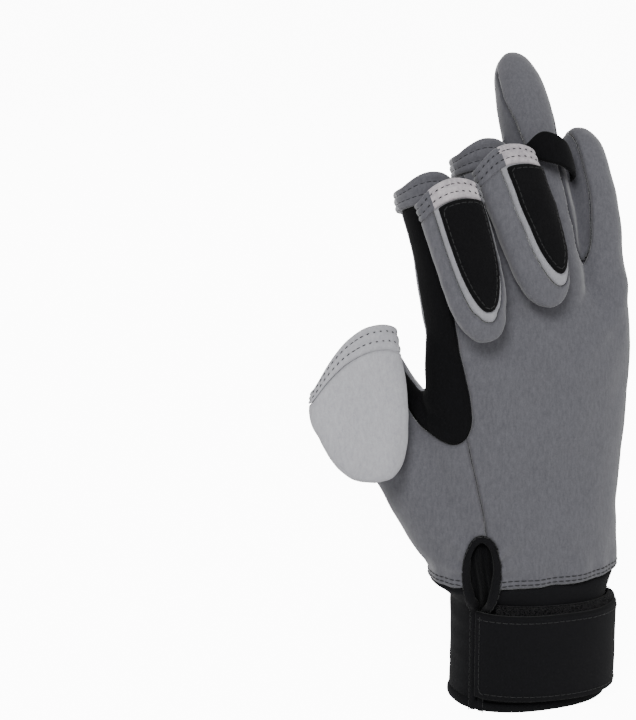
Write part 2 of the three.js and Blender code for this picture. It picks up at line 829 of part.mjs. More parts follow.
const midGrey = '#77777b';
const darkGrey = '#4b4b50';
const lightGrey = '#a5a5a8';
const paleGrey = '#b9b9bc';
const black = '#18181c';
const gripBlack = '#121214';
const cloth = 0.95;
const rubber = 0.6;

// Where the face and the hook patch start and end, as shares of a cap's length
const faceSpan = [0.02, 0.86];
const hookSpan = [0.16, 0.8];

function capFace(sections, shift) {
  return capFront(sections, shift, seamGap, facePanelThick, facePanelWidth, ...faceSpan);
}

function capHook(sections, shift) {
  return capFront(sections, shift, 2 * seamGap + facePanelThick, hookThick, hookWidth, ...hookSpan);
}

const pieces = [
  ['back_panel', backPanel, midGrey, cloth],
  ['thumb_back_panel', thumbBackPanel, midGrey, cloth],
  ['palm_panel', palmPanel, lightGrey, cloth],
  ['web_gusset', webGusset, black, cloth],
  ...fourchettes.map(({ name, space }) => [name, handShell.intersect(space(0)), darkGrey, cloth]),
  ['index_hem', tubes.index.hem, lightGrey, cloth],
  ['middle_hem', tubes.middle.hem, lightGrey, cloth],
  ['thumb_hem', tubes.thumb.hem, lightGrey, cloth],
  ['index_cap', pouch(indexCapSections), midGrey, cloth],
  ['index_cap_face', capFace(indexCapSections, indexFaceShift), paleGrey, cloth],
  ['index_cap_hook', capHook(indexCapSections, indexFaceShift), black, cloth],
  ['middle_cap', pouch(middleCapSections), midGrey, cloth],
  ['middle_cap_face', capFace(middleCapSections, middleFaceShift), paleGrey, cloth],
  ['middle_cap_hook', capHook(middleCapSections, middleFaceShift), black, cloth],
  ['thumb_cap', pouch(thumbCapSections()), paleGrey, cloth],
  ['pull_band', pullBand(), black, cloth],
  ['palm_grip', palmGrip, gripBlack, rubber],
  ['thumb_grip', thumbGrip, gripBlack, rubber],
  ['cuff', cuff, black, cloth],
  ['cuff_band', cuffBand, black, cloth],
  ['keyhole_binding', keyholeBinding, black, cloth],
  ['keyhole_gusset', keyholeGusset, black, cloth],
  ['loop_strip', loopStrip, black, cloth],
  ['wrist_strap', wristStrap, black, cloth],
];

function toMesh(name, solid, colour, roughness) {
  const { vertProperties, triVerts } = solid.getMesh();
  const geometry = new THREE.BufferGeometry();
  geometry.setAttribute('position', new THREE.BufferAttribute(vertProperties, 3));
  geometry.setIndex(new THREE.BufferAttribute(triVerts, 1));
  geometry.computeVertexNormals();
  const material = new THREE.MeshStandardMaterial({ color: colour, roughness, metalness: 0 });
  const mesh = new THREE.Mesh(geometry, material);
  mesh.name = name;
  return mesh;
}

const glove = new THREE.Group();
glove.add(...pieces.map((piece) => toMesh(...piece)));

export default glove;
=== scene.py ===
# %% [markdown]
# # A fishing glove in Blender
# The glove stands on its wrist opening with the fingers up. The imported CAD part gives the
# frame: every measure below is in its axes, with +Z to the fingertips, the back of the hand
# towards -Y and the thumb on the -X side. Lengths are worked out in millimetres and turned
# into metres when a mesh is made.

# %% Load the frame
import math

import bpy
import numpy as np
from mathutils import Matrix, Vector, noise
from mathutils.bvhtree import BVHTree


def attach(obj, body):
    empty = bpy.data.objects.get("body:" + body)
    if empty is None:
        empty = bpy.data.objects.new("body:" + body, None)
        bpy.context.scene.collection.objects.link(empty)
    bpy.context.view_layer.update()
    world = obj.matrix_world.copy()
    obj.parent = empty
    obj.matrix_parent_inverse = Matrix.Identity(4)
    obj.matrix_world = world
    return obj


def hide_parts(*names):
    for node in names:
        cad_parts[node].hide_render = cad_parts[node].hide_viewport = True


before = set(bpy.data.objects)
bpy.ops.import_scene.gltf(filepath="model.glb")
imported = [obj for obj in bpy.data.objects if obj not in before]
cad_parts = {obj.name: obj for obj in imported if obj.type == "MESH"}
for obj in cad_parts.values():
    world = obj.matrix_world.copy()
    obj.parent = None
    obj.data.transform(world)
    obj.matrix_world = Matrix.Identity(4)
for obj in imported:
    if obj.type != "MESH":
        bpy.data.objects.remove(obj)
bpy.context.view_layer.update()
MM = 0.001

# %% [markdown]
# ## Camera
# A product photographer stands a little towards the thumb and a little above the glove. The
# camera stays there, and looks beside the glove, so that the glove keeps its place in the frame
# without a lens shift.

# %% Camera
PHOTO_WIDTH, PHOTO_HEIGHT = 636, 720
PIXEL = 0.395
AZIMUTH, ELEVATION = math.radians(-24), math.radians(14)
DISTANCE = 850
CENTRE = np.array([-23.5, 9.5, 127.0])
CENTRE_PIXEL = (464, 385)
SENSOR = 36

toward_camera = np.array([
    math.sin(AZIMUTH) * math.cos(ELEVATION),
    -math.cos(AZIMUTH) * math.cos(ELEVATION),
    math.sin(ELEVATION),
])
screen_right = np.array([math.cos(AZIMUTH), math.sin(AZIMUTH), 0])
screen_up = np.cross(toward_camera, screen_right)
screen_up *= np.sign(screen_up[2])
aim = (CENTRE
       - screen_right * (CENTRE_PIXEL[0] - PHOTO_WIDTH / 2) * PIXEL
       + screen_up * (CENTRE_PIXEL[1] - PHOTO_HEIGHT / 2) * PIXEL)
eye = CENTRE + toward_camera * DISTANCE
camera = bpy.data.objects.new("camera", bpy.data.cameras.new("camera"))
bpy.context.scene.collection.objects.link(camera)
camera.location = Vector(eye * MM)
camera.rotation_euler = Vector(aim - eye).to_track_quat("-Z", "Y").to_euler()
camera.data.sensor_width = SENSOR
camera.data.lens = SENSOR * DISTANCE / (PHOTO_HEIGHT * PIXEL)
camera.data.clip_start, camera.data.clip_end = 0.05, 10
bpy.context.scene.camera = camera
print("lens", round(camera.data.lens, 1))

# %% [markdown]
# ## Meshes from arrays
# Cloth is easiest to shape as arrays of points: a smooth skin is made first, then cut along the
# seams, and only then given its thickness. A cloth here is a dictionary of points, normals and
# triangles, with any further value that each point carries.

# %% Meshes from arrays
def unit(vectors):
    return vectors / np.maximum(np.linalg.norm(vectors, axis=-1, keepdims=True), 1e-12)


def point_normals(points, triangles):
    a, b, c = (points[triangles[:, i]] for i in range(3))
    face = np.cross(b - a, c - a)
    total = np.stack([
        np.bincount(triangles.ravel(), np.repeat(face[:, k], 3), len(points)) for k in range(3)
    ], 1)
    return unit(total)


def sides_of(triangles):
    return np.concatenate([triangles[:, [0, 1]], triangles[:, [1, 2]], triangles[:, [2, 0]]])


def edges_of(triangles):
    return np.unique(np.sort(sides_of(triangles), 1), axis=0)


def halved(quads):
    return np.concatenate([quads[:, [0, 1, 2]], quads[:, [0, 2, 3]]])


def walked(points):
    """How far along a line each of its points is."""
    return np.concatenate([[0], np.cumsum(np.linalg.norm(np.diff(points, axis=0), axis=1))])


def smoothed(points, triangles, rounds, weight=1.0):
    a, b = edges_of(triangles).T
    count = np.bincount(a, minlength=len(points)) + np.bincount(b, minlength=len(points))
    weight = np.broadcast_to(weight, len(points))[:, None] * 0.5
    for _ in range(rounds):
        around = np.stack([
            np.bincount(a, points[b, k], len(points)) + np.bincount(b, points[a, k], len(points))
            for k in range(3)
        ], 1) / np.maximum(count, 1)[:, None]
        points = points + (around - points) * weight
    return points


def link_new(name, data):
    piece = bpy.data.objects.new(name, data)
    bpy.context.scene.collection.objects.link(piece)
    return piece


def put(name, points, faces, materials, choice=None, **values):
    """A mesh object. The values become attributes of its points, which the materials can read."""
    mesh = bpy.data.meshes.new(name)
    mesh.from_pydata((points * MM).tolist(), [], faces if isinstance(faces, list) else faces.tolist())
    for material in materials:
        mesh.materials.append(material)
    if choice is not None:
        mesh.polygons.foreach_set("material_index", np.asarray(choice, np.int32))
    for key, value in values.items():
        layer = mesh.attributes.new(key, "FLOAT", "POINT")
        layer.data.foreach_set("value", np.asarray(value, np.float32))
    mesh.polygons.foreach_set("use_smooth", np.ones(len(mesh.polygons), bool))
    mesh.update()
    return link_new(name, mesh)


def removed(piece):
    mesh = piece.data
    bpy.data.objects.remove(piece)
    bpy.data.meshes.remove(mesh)


def belongs(piece, slot, *nodes):
    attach(piece, "root")
    if nodes:
        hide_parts(*nodes)
    print(piece.name, len(piece.data.polygons), "faces")
    return piece


def waves(points, scale, seed=0.0):
    shift = Vector((seed, -seed, 0.5 * seed))
    return np.array([noise.noise(Vector(p) * scale + shift) for p in points])


def ease(value, low, high):
    share = np.clip((value - low) / (high - low), 0, 1)
    return share * share * (3 - 2 * share)

# %% [markdown]
# ## Cutting and thickening
# `clip` keeps the part of a cloth where a value is above zero and cuts the triangles on the line
# itself, so seams come out smooth. `thicken` gives a cloth its wall: the outer side rolls down
# at its edges, as the turned edge of a sewn panel does, and the inner side gets the lining.

# %% Cutting and thickening
def crossing(triangles, value):
    """The triangles that a value of zero cuts, each with its odd corner first, and the cut edges."""
    inside = value > 0
    count = inside[triangles].sum(1)
    cut = triangles[(count == 1) | (count == 2)]
    lone_in = inside[cut].sum(1) == 1
    lone = np.where(lone_in, inside[cut].argmax(1), (~inside[cut]).argmax(1))
    cut = np.take_along_axis(cut, (lone[:, None] + np.arange(3)) % 3, 1)
    pairs = np.sort(np.concatenate([cut[:, [0, 1]], cut[:, [0, 2]]]), 1)
    ends, back = np.unique(pairs, axis=0, return_inverse=True)
    share = value[ends[:, 0]] / (value[ends[:, 0]] - value[ends[:, 1]])
    return count == 3, cut, lone_in, ends, back.ravel(), share


def mixed(values, ends, share):
    part = share[:, None] if values.ndim == 2 else share
    return values[ends[:, 0]] * (1 - part) + values[ends[:, 1]] * part


def clip(cloth, value):
    value = np.where(np.abs(value) < 1e-3, 1e-3, value)
    whole, cut, lone_in, ends, back, share = crossing(cloth["t"], value)
    first, second = np.split(back + len(value), 2)
    kept = np.concatenate([
        cloth["t"][whole],
        np.stack([cut[:, 0], first, second], 1)[lone_in],
        np.stack([first, cut[:, 1], cut[:, 2]], 1)[~lone_in],
        np.stack([first, cut[:, 2], second], 1)[~lone_in],
    ])
    used, numbers = np.unique(kept.ravel(), return_inverse=True)
    result = {"t": numbers.reshape(-1, 3)}
    for key, old in cloth.items():
        if key != "t":
            result[key] = np.concatenate([old, mixed(old, ends, share)])[used]
    result["n"] = unit(result["n"])
    return result


def rim_of(triangles):
    sides = sides_of(triangles)
    _, back, count = np.unique(np.sort(sides, 1), axis=0, return_inverse=True, return_counts=True)
    return sides[count[back.ravel()] == 1]


def chains(beside):
    """The numbers of neighbouring points, walked from one end to the other or once round."""
    starts = [k for k, near in beside.items() if len(near) == 1] + list(beside)
    seen = set()
    for start in starts:
        if start in seen:
            continue
        chain, ahead = [start], [start]
        while ahead:
            seen.add(chain[-1])
            ahead = [k for k in beside[chain[-1]] if k not in seen]
            chain += ahead[:1]
        if len(chain) > 2 and chain[0] in beside[chain[-1]]:
            chain.append(chain[0])
        yield chain


def level_paths(cloth, value, least=8.0):
    """The lines on a cloth where a value is zero, each as rows of place and normal."""
    value = np.where(np.abs(value) < 1e-6, 1e-6, value)
    _, _, _, ends, back, share = crossing(cloth["t"], value)
    rows = np.concatenate([mixed(cloth["v"], ends, share), unit(mixed(cloth["n"], ends, share))], 1)
    beside = {}
    for a, b in back.reshape(2, -1).T.tolist():
        beside.setdefault(a, []).append(b)
        beside.setdefault(b, []).append(a)
    found = [rows[chain] for chain in chains(beside)]
    return [row for row in found if walked(row[:, :3])[-1] > least]


def lifted_rows(rows, lift):
    return [np.concatenate([row[:, :3] + row[:, 3:] * lift, row[:, 3:]], 1) for row in rows]


FAR, THINNEST = 30.0, 0.35


def rim_distance(cloth):
    """How far each point is from the cloth's own edge, found by walking the mesh."""
    points, triangles = cloth["v"], cloth["t"]
    a, b = edges_of(triangles).T
    length = np.linalg.norm(points[a] - points[b], axis=1)
    far = np.full(len(points), FAR)
    far[np.unique(rim_of(triangles))] = 0
    for _ in range(14):
        np.minimum.at(far, a, far[b] + length)
        np.minimum.at(far, b, far[a] + length)
    return far


def thicken(name, cloth, wall, roll, materials, lift=0.0):
    points, normals, triangles = cloth["v"], cloth["n"], cloth["t"]
    edge = rim_distance(cloth)
    turn = np.clip(1 - edge / roll, 0, 1)
    sink = roll * (1 - np.sqrt(1 - np.minimum(turn, 0.995) ** 2))
    outer = points + normals * (lift - sink)[:, None]
    wall = np.minimum(wall, cloth.get("room", wall))
    inner = points + normals * (lift - np.maximum(wall, sink + THINNEST))[:, None]
    count = len(points)
    rim = rim_of(triangles)
    quads = np.stack([rim[:, 1], rim[:, 0], rim[:, 0] + count, rim[:, 1] + count], 1)
    faces = [*triangles.tolist(), *(triangles[:, ::-1] + count).tolist(), *quads.tolist()]
    choice = np.zeros(len(faces), int)
    choice[len(triangles):2 * len(triangles)] = len(materials) - 1
    return put(name, np.concatenate([outer, inner]), faces, materials, choice,
               edge=np.concatenate([edge, np.full(count, FAR)]))

# %% [markdown]
# ## Finishes
# The glove has three cloths of one kind, a brushed softshell in mid, light and dark grey, a
# smooth black neoprene, black brushed side cloth, a pale hem cloth, hook-and-loop tape, thread
# and a moulded grip. They share two node groups: one makes the nap of a brushed cloth, the
# other the small ribs of a knit. Colours that change go through the group's mask, and what is
# the same all over is set on the shader.

# %% Node groups
def add_node(tree, kind, inputs={}, **settings):
    """A node with its settings. Each input takes a value, or a link from another node's socket."""
    node = tree.nodes.new(kind)
    for key, value in settings.items():
        setattr(node, key, value)
    for key, value in inputs.items():
        if isinstance(value, bpy.types.NodeSocket):
            tree.links.new(value, node.inputs[key])
        elif value is not None:
            node.inputs[key].default_value = value
    return node


def new_group(kind, name, inputs, outputs):
    group = bpy.data.node_groups.new(name, kind)
    for label, sort, value in inputs:
        socket = group.interface.new_socket(label, in_out="INPUT", socket_type=f"NodeSocket{sort}")
        if value is not None:
            socket.default_value = value
    for label, sort in outputs:
        group.interface.new_socket(label, in_out="OUTPUT", socket_type=f"NodeSocket{sort}")
    return group, group.nodes.new("NodeGroupInput").outputs


def maths(tree, operation, first, second=None, third=None, clamp=False):
    inputs = {0: first, 1: second, 2: third}
    return add_node(tree, "ShaderNodeMath", inputs, operation=operation, use_clamp=clamp).outputs[0]


def make_nap_group():
    group, given = new_group("ShaderNodeTree", "nap", [
        ("Vector", "Vector", None), ("Fineness", "Float", 1500.0), ("Cloudiness", "Float", 0.5),
    ], [("Mask", "Float"), ("Height", "Float")])
    place = given["Vector"]
    squeeze = add_node(group, "ShaderNodeMapping", {"Vector": place, "Scale": (1.0, 1.0, 0.35)})
    coarse = maths(group, "MULTIPLY", given["Fineness"], 0.55)
    fine, patchy, streak = (
        add_node(group, "ShaderNodeTexNoise",
                 {"Vector": at, "Scale": scale, "Detail": detail, "Roughness": roughness}).outputs["Fac"]
        for at, scale, detail, roughness in (
            (place, given["Fineness"], 3.0, 0.7), (place, 85.0, 4.0, 0.6),
            (squeeze.outputs[0], coarse, 2.0, 0.6))
    )
    both = maths(group, "MULTIPLY_ADD", streak, 0.5, maths(group, "MULTIPLY", fine, 0.5))
    cloud = maths(group, "MULTIPLY", maths(group, "SUBTRACT", patchy, 0.5), given["Cloudiness"])
    mask = maths(group, "ADD", both, cloud, clamp=True)
    add_node(group, "NodeGroupOutput", {"Mask": mask, "Height": both})
    return group


def make_knit_group():
    group, given = new_group("ShaderNodeTree", "knit", [
        ("Vector", "Vector", None), ("Pitch", "Float", 0.9),
    ], [("Mask", "Float"), ("Height", "Float")])
    split = add_node(group, "ShaderNodeSeparateXYZ", {0: given["Vector"]})
    turns = maths(group, "DIVIDE", 2 * math.pi / MM, given["Pitch"])
    x, y, z = (maths(group, "MULTIPLY", split.outputs[axis], turns) for axis in "XYZ")
    column = maths(group, "SINE", maths(group, "ADD", x, y))
    row = maths(group, "SINE", maths(group, "MULTIPLY", z, 1.3))
    both = maths(group, "MULTIPLY_ADD", column, 0.25, maths(group, "MULTIPLY_ADD", row, 0.25, 0.5))
    speckle = add_node(group, "ShaderNodeTexNoise", {
        "Vector": given["Vector"], "Scale": 1400.0, "Detail": 2.0,
    }).outputs["Fac"]
    mask = maths(group, "MULTIPLY_ADD", speckle, 0.5, maths(group, "MULTIPLY", both, 0.5))
    add_node(group, "NodeGroupOutput", {"Mask": mask, "Height": mask})
    return group


NAP = make_nap_group()
KNIT = make_knit_group()
print("node groups", NAP.name, KNIT.name)

# %% [markdown]
# Each finish mixes a darker and a lighter tone by the group's mask, paints shade into its colour a
# little towards the sewn edges, where the cloth dips into the seam, and lifts the same mask as a
# bump. The distance to the edge is a value that every panel carries.

# %% Finishes
def colour(code):
    parts = [int(code[i:i + 2], 16) / 255 for i in (0, 2, 4)]
    return [*(p / 12.92 if p <= 0.04045 else ((p + 0.055) / 1.055) ** 2.4 for p in parts), 1.0]


def finish(name, group, dark, light, settings, bump=0.3, depth=0.25, seam_shade=0.25,
           roughness=0.9, sheen=0.3, specular=0.3):
    material = bpy.data.materials.new(name)
    material.use_nodes = True
    tree = material.node_tree
    place = add_node(tree, "ShaderNodeTexCoord").outputs["Object"]
    grain = add_node(tree, "ShaderNodeGroup", node_tree=group)
    for key, value in settings.items():
        grain.inputs[key].default_value = value
    tree.links.new(place, grain.inputs["Vector"])
    contrast = add_node(tree, "ShaderNodeMapRange",
                        {"Value": grain.outputs["Mask"], "From Min": 0.3, "From Max": 0.7})
    shades = add_node(tree, "ShaderNodeMix", {"Factor": contrast.outputs["Result"], "A": colour(dark),
                                              "B": colour(light)}, data_type="RGBA")
    # Painted shade: the colour is darkened within 1.6 mm of a sewn edge, where the seam's valley lies.
    edge = add_node(tree, "ShaderNodeAttribute", attribute_name="edge")
    near = add_node(tree, "ShaderNodeMapRange",
                    {"Value": edge.outputs["Fac"], "From Max": 1.6, "To Min": 1 - seam_shade})
    shaded = add_node(tree, "ShaderNodeMix", {"Factor": 1.0, "A": shades.outputs["Result"],
                                              "B": near.outputs["Result"]},
                      data_type="RGBA", blend_type="MULTIPLY")
    bumps = add_node(tree, "ShaderNodeBump",
                     {"Height": grain.outputs["Height"], "Strength": bump, "Distance": depth * MM})
    shader = tree.nodes["Principled BSDF"]
    tree.links.new(shaded.outputs["Result"], shader.inputs["Base Color"])
    tree.links.new(bumps.outputs["Normal"], shader.inputs["Normal"])
    for key, value in (("Roughness", roughness), ("Sheen Weight", sheen), ("Sheen Roughness", 0.5),
                       ("Specular IOR Level", specular)):
        shader.inputs[key].default_value = value
    return material


SOFTSHELL = {"Fineness": 1700.0, "Cloudiness": 0.14}
THREAD = {"Pitch": 0.4}
RUBBER = {"Fineness": 1300.0, "Cloudiness": 0.2}
mid_cloth = finish("mid_cloth", NAP, "434348", "55555a", SOFTSHELL, specular=0.15)
light_cloth = finish("light_cloth", NAP, "75757a", "8d8d91", SOFTSHELL, specular=0.2)
pale_cloth = finish("pale_cloth", NAP, "8b8b90", "a4a4a8", SOFTSHELL, specular=0.2)
# The dark side strips get a deeper painted shade along their seams.
dark_cloth = finish("dark_cloth", NAP, "3a3a3f", "4b4b50", SOFTSHELL, seam_shade=0.35, specular=0.15)
hem_cloth = finish("hem_cloth", NAP, "7f7a7f", "aca6a9", {"Fineness": 1100.0, "Cloudiness": 0.8},
                   bump=0.6)
side_cloth = finish("side_cloth", NAP, "030304", "08080a", SOFTSHELL, bump=0.4, sheen=0.02, specular=0.1)
lining = finish("lining", KNIT, "2b2b30", "434349", {"Pitch": 1.2}, bump=0.5)
neoprene = finish("neoprene", NAP, "040406", "08080b", {"Fineness": 2400.0, "Cloudiness": 0.2},
                  bump=0.15, sheen=0.02, specular=0.15)
tape = finish("tape", NAP, "020203", "09090b", {"Fineness": 2200.0, "Cloudiness": 0.2},
              bump=0.9, depth=0.4, sheen=0.03, specular=0.1)
charcoal_thread = finish("charcoal_thread", KNIT, "121215", "202024", THREAD, sheen=0.05)
black_thread = finish("black_thread", KNIT, "0a0a0c", "161619", THREAD, roughness=0.6, sheen=0.05)
grip_rubber = finish("grip_rubber", NAP, "020203", "060608", RUBBER,
                     roughness=0.6, sheen=0.0, specular=0.2)
grip_line = finish("grip_line", NAP, "08080a", "141417", RUBBER,
                   bump=0.05, roughness=0.28, sheen=0.0, specular=0.7)
print("materials", len(bpy.data.materials))

# %% [markdown]
# ## The hand's shape
# A glove without a hand keeps the shape of its cut: a flat oval palm, fingers that bend forward
# on one curve and a thumb that leans out. The rows below are the CAD part's own rows. Here a
# smooth curve runs through them, where the CAD part joins them with straight facets.

# %% The hand's shape
CUFF_HEIGHT, CUFF_WIDTH, CUFF_DEPTH, CUFF_SHIFT = 52, 64, 46, 2
PALM_HEIGHT, PALM_WIDTH, PALM_DEPTH = 116, 87, 40
KNUCKLES, CURL_HEIGHT, CURL_DEPTH, CURL_POWER = 150, 100, 40, 1.7
MOUTH_TILT = math.radians(20)
WRIST_OVAL, FINGER_OVAL, CAP_OVAL = 2.3, 2.2, 2.5
THUMB_LENGTH, THUMB_WIDTH, THUMB_DEPTH = 80, 35, 26
THUMB_ROOT = np.array([-24.0, 4, 72])
SPREAD, FORWARD = math.radians(33), math.radians(12)
THUMB_TRAVEL = np.array([
    -math.sin(SPREAD) * math.cos(FORWARD), math.sin(FORWARD), math.cos(SPREAD) * math.cos(FORWARD),
])
THUMB_ACROSS = np.array([math.cos(SPREAD), 0, math.sin(SPREAD)])
HEM = 8
FINGERS = {
    "index": {"width": 22.8, "depth": 23, "side": -0.355, "drift": -0.095, "reach": 56},
    "middle": {"width": 22.5, "depth": 23.5, "side": -0.118, "drift": -0.04, "reach": 67},
    "ring": {"width": 22.5, "depth": 22.5, "side": 0.13, "drift": -0.03, "reach": 104},
    "little": {"width": 20.5, "depth": 21, "side": 0.366, "drift": -0.02, "reach": 76},
}
PALM_ROWS = [
    (-0.06, 0.908, 1.15, -0.012, 0), (0, 0.908, 1.15, -0.012, 0), (0.16, 0.908, 1.08, -0.012, 0),
    (0.37, 0.943, 0.97, -0.012, 0.02), (0.59, 0.985, 0.9, -0.008, 0), (0.8, 0.993, 0.8, 0, 0),
    (0.91, 0.966, 0.67, 0, 0.02), (0.98, 0.874, 0.45, 0, 0.05), (1, 0.78, 0.2, 0, 0.06),
]
FINGER_ROWS = [
    (-0.12, 0.94, 0.9), (0.06, 1, 1.1), (0.22, 0.99, 1.07), (0.42, 0.98, 1), (0.62, 0.97, 0.99),
    (0.78, 0.93, 0.94), (0.88, 0.82, 0.82), (0.95, 0.62, 0.6), (0.99, 0.3, 0.3), (1, 0.1, 0.1),
]
STUB_ROWS = [(-0.22, 0.94, 0.9), (0.12, 1, 1.1), (0.4, 0.98, 1.06), (0.7, 0.98, 1.04), (1.08, 1, 1.04)]
THUMB_ROWS = [(-0.12, 1.16, 1.05), (0.04, 1.24, 1.26), (0.25, 1.19, 1.3), (0.5, 1.08, 1.18),
              (0.75, 1, 1.04), (1.08, 1, 1)]


def glide(at, rows, column):
    """A smooth curve through one column of a table, without overshoot."""
    xs = np.array([row[0] for row in rows], float)
    ys = np.array([row[column] for row in rows], float)
    gap = np.diff(xs)
    slope = np.diff(ys) / gap
    lean = np.zeros_like(ys)
    lean[0], lean[-1] = slope[0], slope[-1]
    same = slope[:-1] * slope[1:] > 1e-12
    first, second = 2 * gap[1:] + gap[:-1], gap[1:] + 2 * gap[:-1]
    safe = np.where(same, slope[:-1], 1), np.where(same, slope[1:], 1)
    lean[1:-1] = np.where(same, (first + second) / (first / safe[0] + second / safe[1]), 0)
    i = np.clip(np.searchsorted(xs, at, side="right") - 1, 0, len(xs) - 2)
    t = (at - xs[i]) / gap[i]
    return ((2 * t**3 - 3 * t**2 + 1) * ys[i] + (t**3 - 2 * t**2 + t) * gap[i] * lean[i]
            + (3 * t**2 - 2 * t**3) * ys[i + 1] + (t**3 - t**2) * gap[i] * lean[i + 1])


def curl(height):
    return CURL_DEPTH * (np.maximum(0, height - KNUCKLES) / CURL_HEIGHT) ** CURL_POWER


def finger_line(finger, height):
    share = (height - KNUCKLES) / finger["reach"]
    side = (finger["side"] + finger["drift"] * share) * PALM_WIDTH
    return np.stack([side, curl(height), height], -1)


def rounded(value, squareness):
    return np.sign(value) * np.abs(value) ** (2 / squareness)


def ring_points(path, sides, grow=0.0, turns=None):
    """Rows of points round a path of sections, counter-clockwise about its way."""
    deep = unit(np.cross(path["travel"], path["across"]))
    angle = np.linspace(0, 2 * math.pi, sides, endpoint=False) if turns is None else turns
    x = rounded(np.cos(angle), path["square"])
    y = rounded(np.sin(angle), path["square"])
    wide = (path["width"][:, None] / 2 + grow) * x
    high = (path["depth"][:, None] / 2 + grow) * y
    return (path["centre"][:, None] + path["across"][:, None] * wide[..., None]
            + deep[:, None] * high[..., None])


def palm_path(count=60):
    along = np.linspace(PALM_ROWS[0][0], PALM_ROWS[-1][0], count)
    centre = np.stack([
        glide(along, PALM_ROWS, 3) * PALM_WIDTH,
        glide(along, PALM_ROWS, 4) * PALM_DEPTH,
        CUFF_HEIGHT + along * PALM_HEIGHT,
    ], 1)
    return {"centre": centre, "across": np.tile([1.0, 0, 0], (count, 1)),
            "travel": np.tile([0, 0, 1.0], (count, 1)), "square": WRIST_OVAL,
            "width": glide(along, PALM_ROWS, 1) * PALM_WIDTH,
            "depth": glide(along, PALM_ROWS, 2) * PALM_DEPTH}


def finger_path(finger, rows, open_end, count=70):
    """The sections of a finger. An open one is tilted at its mouth, with the back's edge higher."""
    start, end = rows[0][0], rows[-1][0]
    along = start + (end - start) * np.sin(np.linspace(0, math.pi / 2, count))
    height = KNUCKLES + along * finger["reach"]
    travel = unit(finger_line(finger, height + 1) - finger_line(finger, height - 1))
    tilt = MOUTH_TILT * ease(along, 0.3, 0.8)
    if open_end:
        travel = np.stack([0 * tilt, np.sin(tilt), np.cos(tilt)], 1)
    across = unit(np.array([1.0, 0, 0]) - travel * travel[:, :1])
    return {"centre": finger_line(finger, height), "across": across, "travel": travel,
            "square": FINGER_OVAL, "width": glide(along, rows, 1) * finger["width"],
            "depth": glide(along, rows, 2) * finger["depth"] * (np.cos(tilt) if open_end else 1)}


def thumb_path(count=60, rows=THUMB_ROWS):
    along = np.linspace(rows[0][0], rows[-1][0], count)
    return {"centre": THUMB_ROOT + np.outer(along * THUMB_LENGTH, THUMB_TRAVEL),
            "across": np.tile(THUMB_ACROSS, (count, 1)), "travel": np.tile(THUMB_TRAVEL, (count, 1)),
            "square": FINGER_OVAL, "width": glide(along, rows, 1) * THUMB_WIDTH,
            "depth": glide(along, rows, 2) * THUMB_DEPTH}


def tube_faces(rows, sides):
    a = np.arange(rows - 1)[:, None] * sides + np.arange(sides)
    b = np.arange(rows - 1)[:, None] * sides + (np.arange(sides) + 1) % sides
    return np.stack([a, b, b + sides, a + sides], -1).reshape(-1, 4)


def closed_tube(rings):
    rows, sides = rings.shape[:2]
    points = np.concatenate([rings.reshape(-1, 3), [rings[0].mean(0)], [rings[-1].mean(0)]])
    quads = tube_faces(rows, sides)
    i, j = np.arange(sides), (np.arange(sides) + 1) % sides
    last = (rows - 1) * sides
    low = np.stack([np.full(sides, rows * sides), j, i], 1)
    high = np.stack([np.full(sides, rows * sides + 1), last + i, last + j], 1)
    triangles = np.concatenate([halved(quads), low, high])
    return points, triangles

# %% [markdown]
# ## One skin for the hand
# The palm, the fingers and the thumb are lofted as closed tubes that run into each other, and
# a voxel remesh makes one skin of them. Smoothing then melts the creases where the fingers and
# the thumb grow out of the palm, which are the stretched webs of a real glove.

# %% One skin for the hand
VOXEL = 1.0


def arrays_of(piece):
    graph = bpy.context.evaluated_depsgraph_get()
    shape = piece.evaluated_get(graph).to_mesh()
    points = np.empty(len(shape.vertices) * 3)
    shape.vertices.foreach_get("co", points)
    shape.calc_loop_triangles()
    triangles = np.empty(len(shape.loop_triangles) * 3, int)
    shape.loop_triangles.foreach_get("vertices", triangles)
    piece.evaluated_get(graph).to_mesh_clear()
    return points.reshape(-1, 3) / MM, triangles.reshape(-1, 3)


def remeshed(parts, voxel):
    points, triangles, count = [], [], 0
    for part_points, part_triangles in parts:
        points.append(part_points)
        triangles.append(part_triangles + count)
        count += len(part_points)
    rough = put("rough", np.concatenate(points), np.concatenate(triangles), [])
    remesh = rough.modifiers.new("remesh", "REMESH")
    remesh.mode = "VOXEL"
    remesh.voxel_size = voxel * MM
    found = arrays_of(rough)
    removed(rough)
    return found


skin_parts = [closed_tube(ring_points(palm_path(), 160)), closed_tube(ring_points(thumb_path(), 90))]
for name, rows, is_open in (("index", STUB_ROWS, True), ("middle", STUB_ROWS, True),
                            ("ring", FINGER_ROWS, False), ("little", FINGER_ROWS, False)):
    skin_parts.append(closed_tube(ring_points(finger_path(FINGERS[name], rows, is_open), 80)))
skin_points, skin_triangles = remeshed(skin_parts, VOXEL)
skin_points = smoothed(skin_points, skin_triangles, 6)
print("skin", len(skin_points), "points")

# %% [markdown]
# ## Seams as distances
# Each seam is written as a distance in millimetres that is above zero on one side. The back and
# the palm meet on the fingers' own curve, dark strips join the sides of neighbouring fingers,
# a black side piece runs round the crotch of the thumb, and one seam parts the thumb's back
# from the rest.

# %% Seams as distances
def meeting(x, z):
    toward = np.minimum(0, x)
    reach = np.maximum(0, THUMB_ROOT[0] - x) * math.tan(FORWARD) / math.sin(SPREAD)
    rise = THUMB_ROOT[1] * np.minimum(1, toward / THUMB_ROOT[0]) + reach
    across = (x - THUMB_ROOT[0]) * THUMB_ACROSS[0] + (z - THUMB_ROOT[2]) * THUMB_ACROSS[2]
    return curl(z) + rise * (1 - ease(across, 0.3 * THUMB_WIDTH, 0.55 * THUMB_WIDTH))


def before_meeting(points):
    z = points[:, 2]
    slope = (curl(z + 1) - curl(z - 1)) / 2
    return (meeting(points[:, 0], z) - points[:, 1]) / np.sqrt(1 + slope**2)


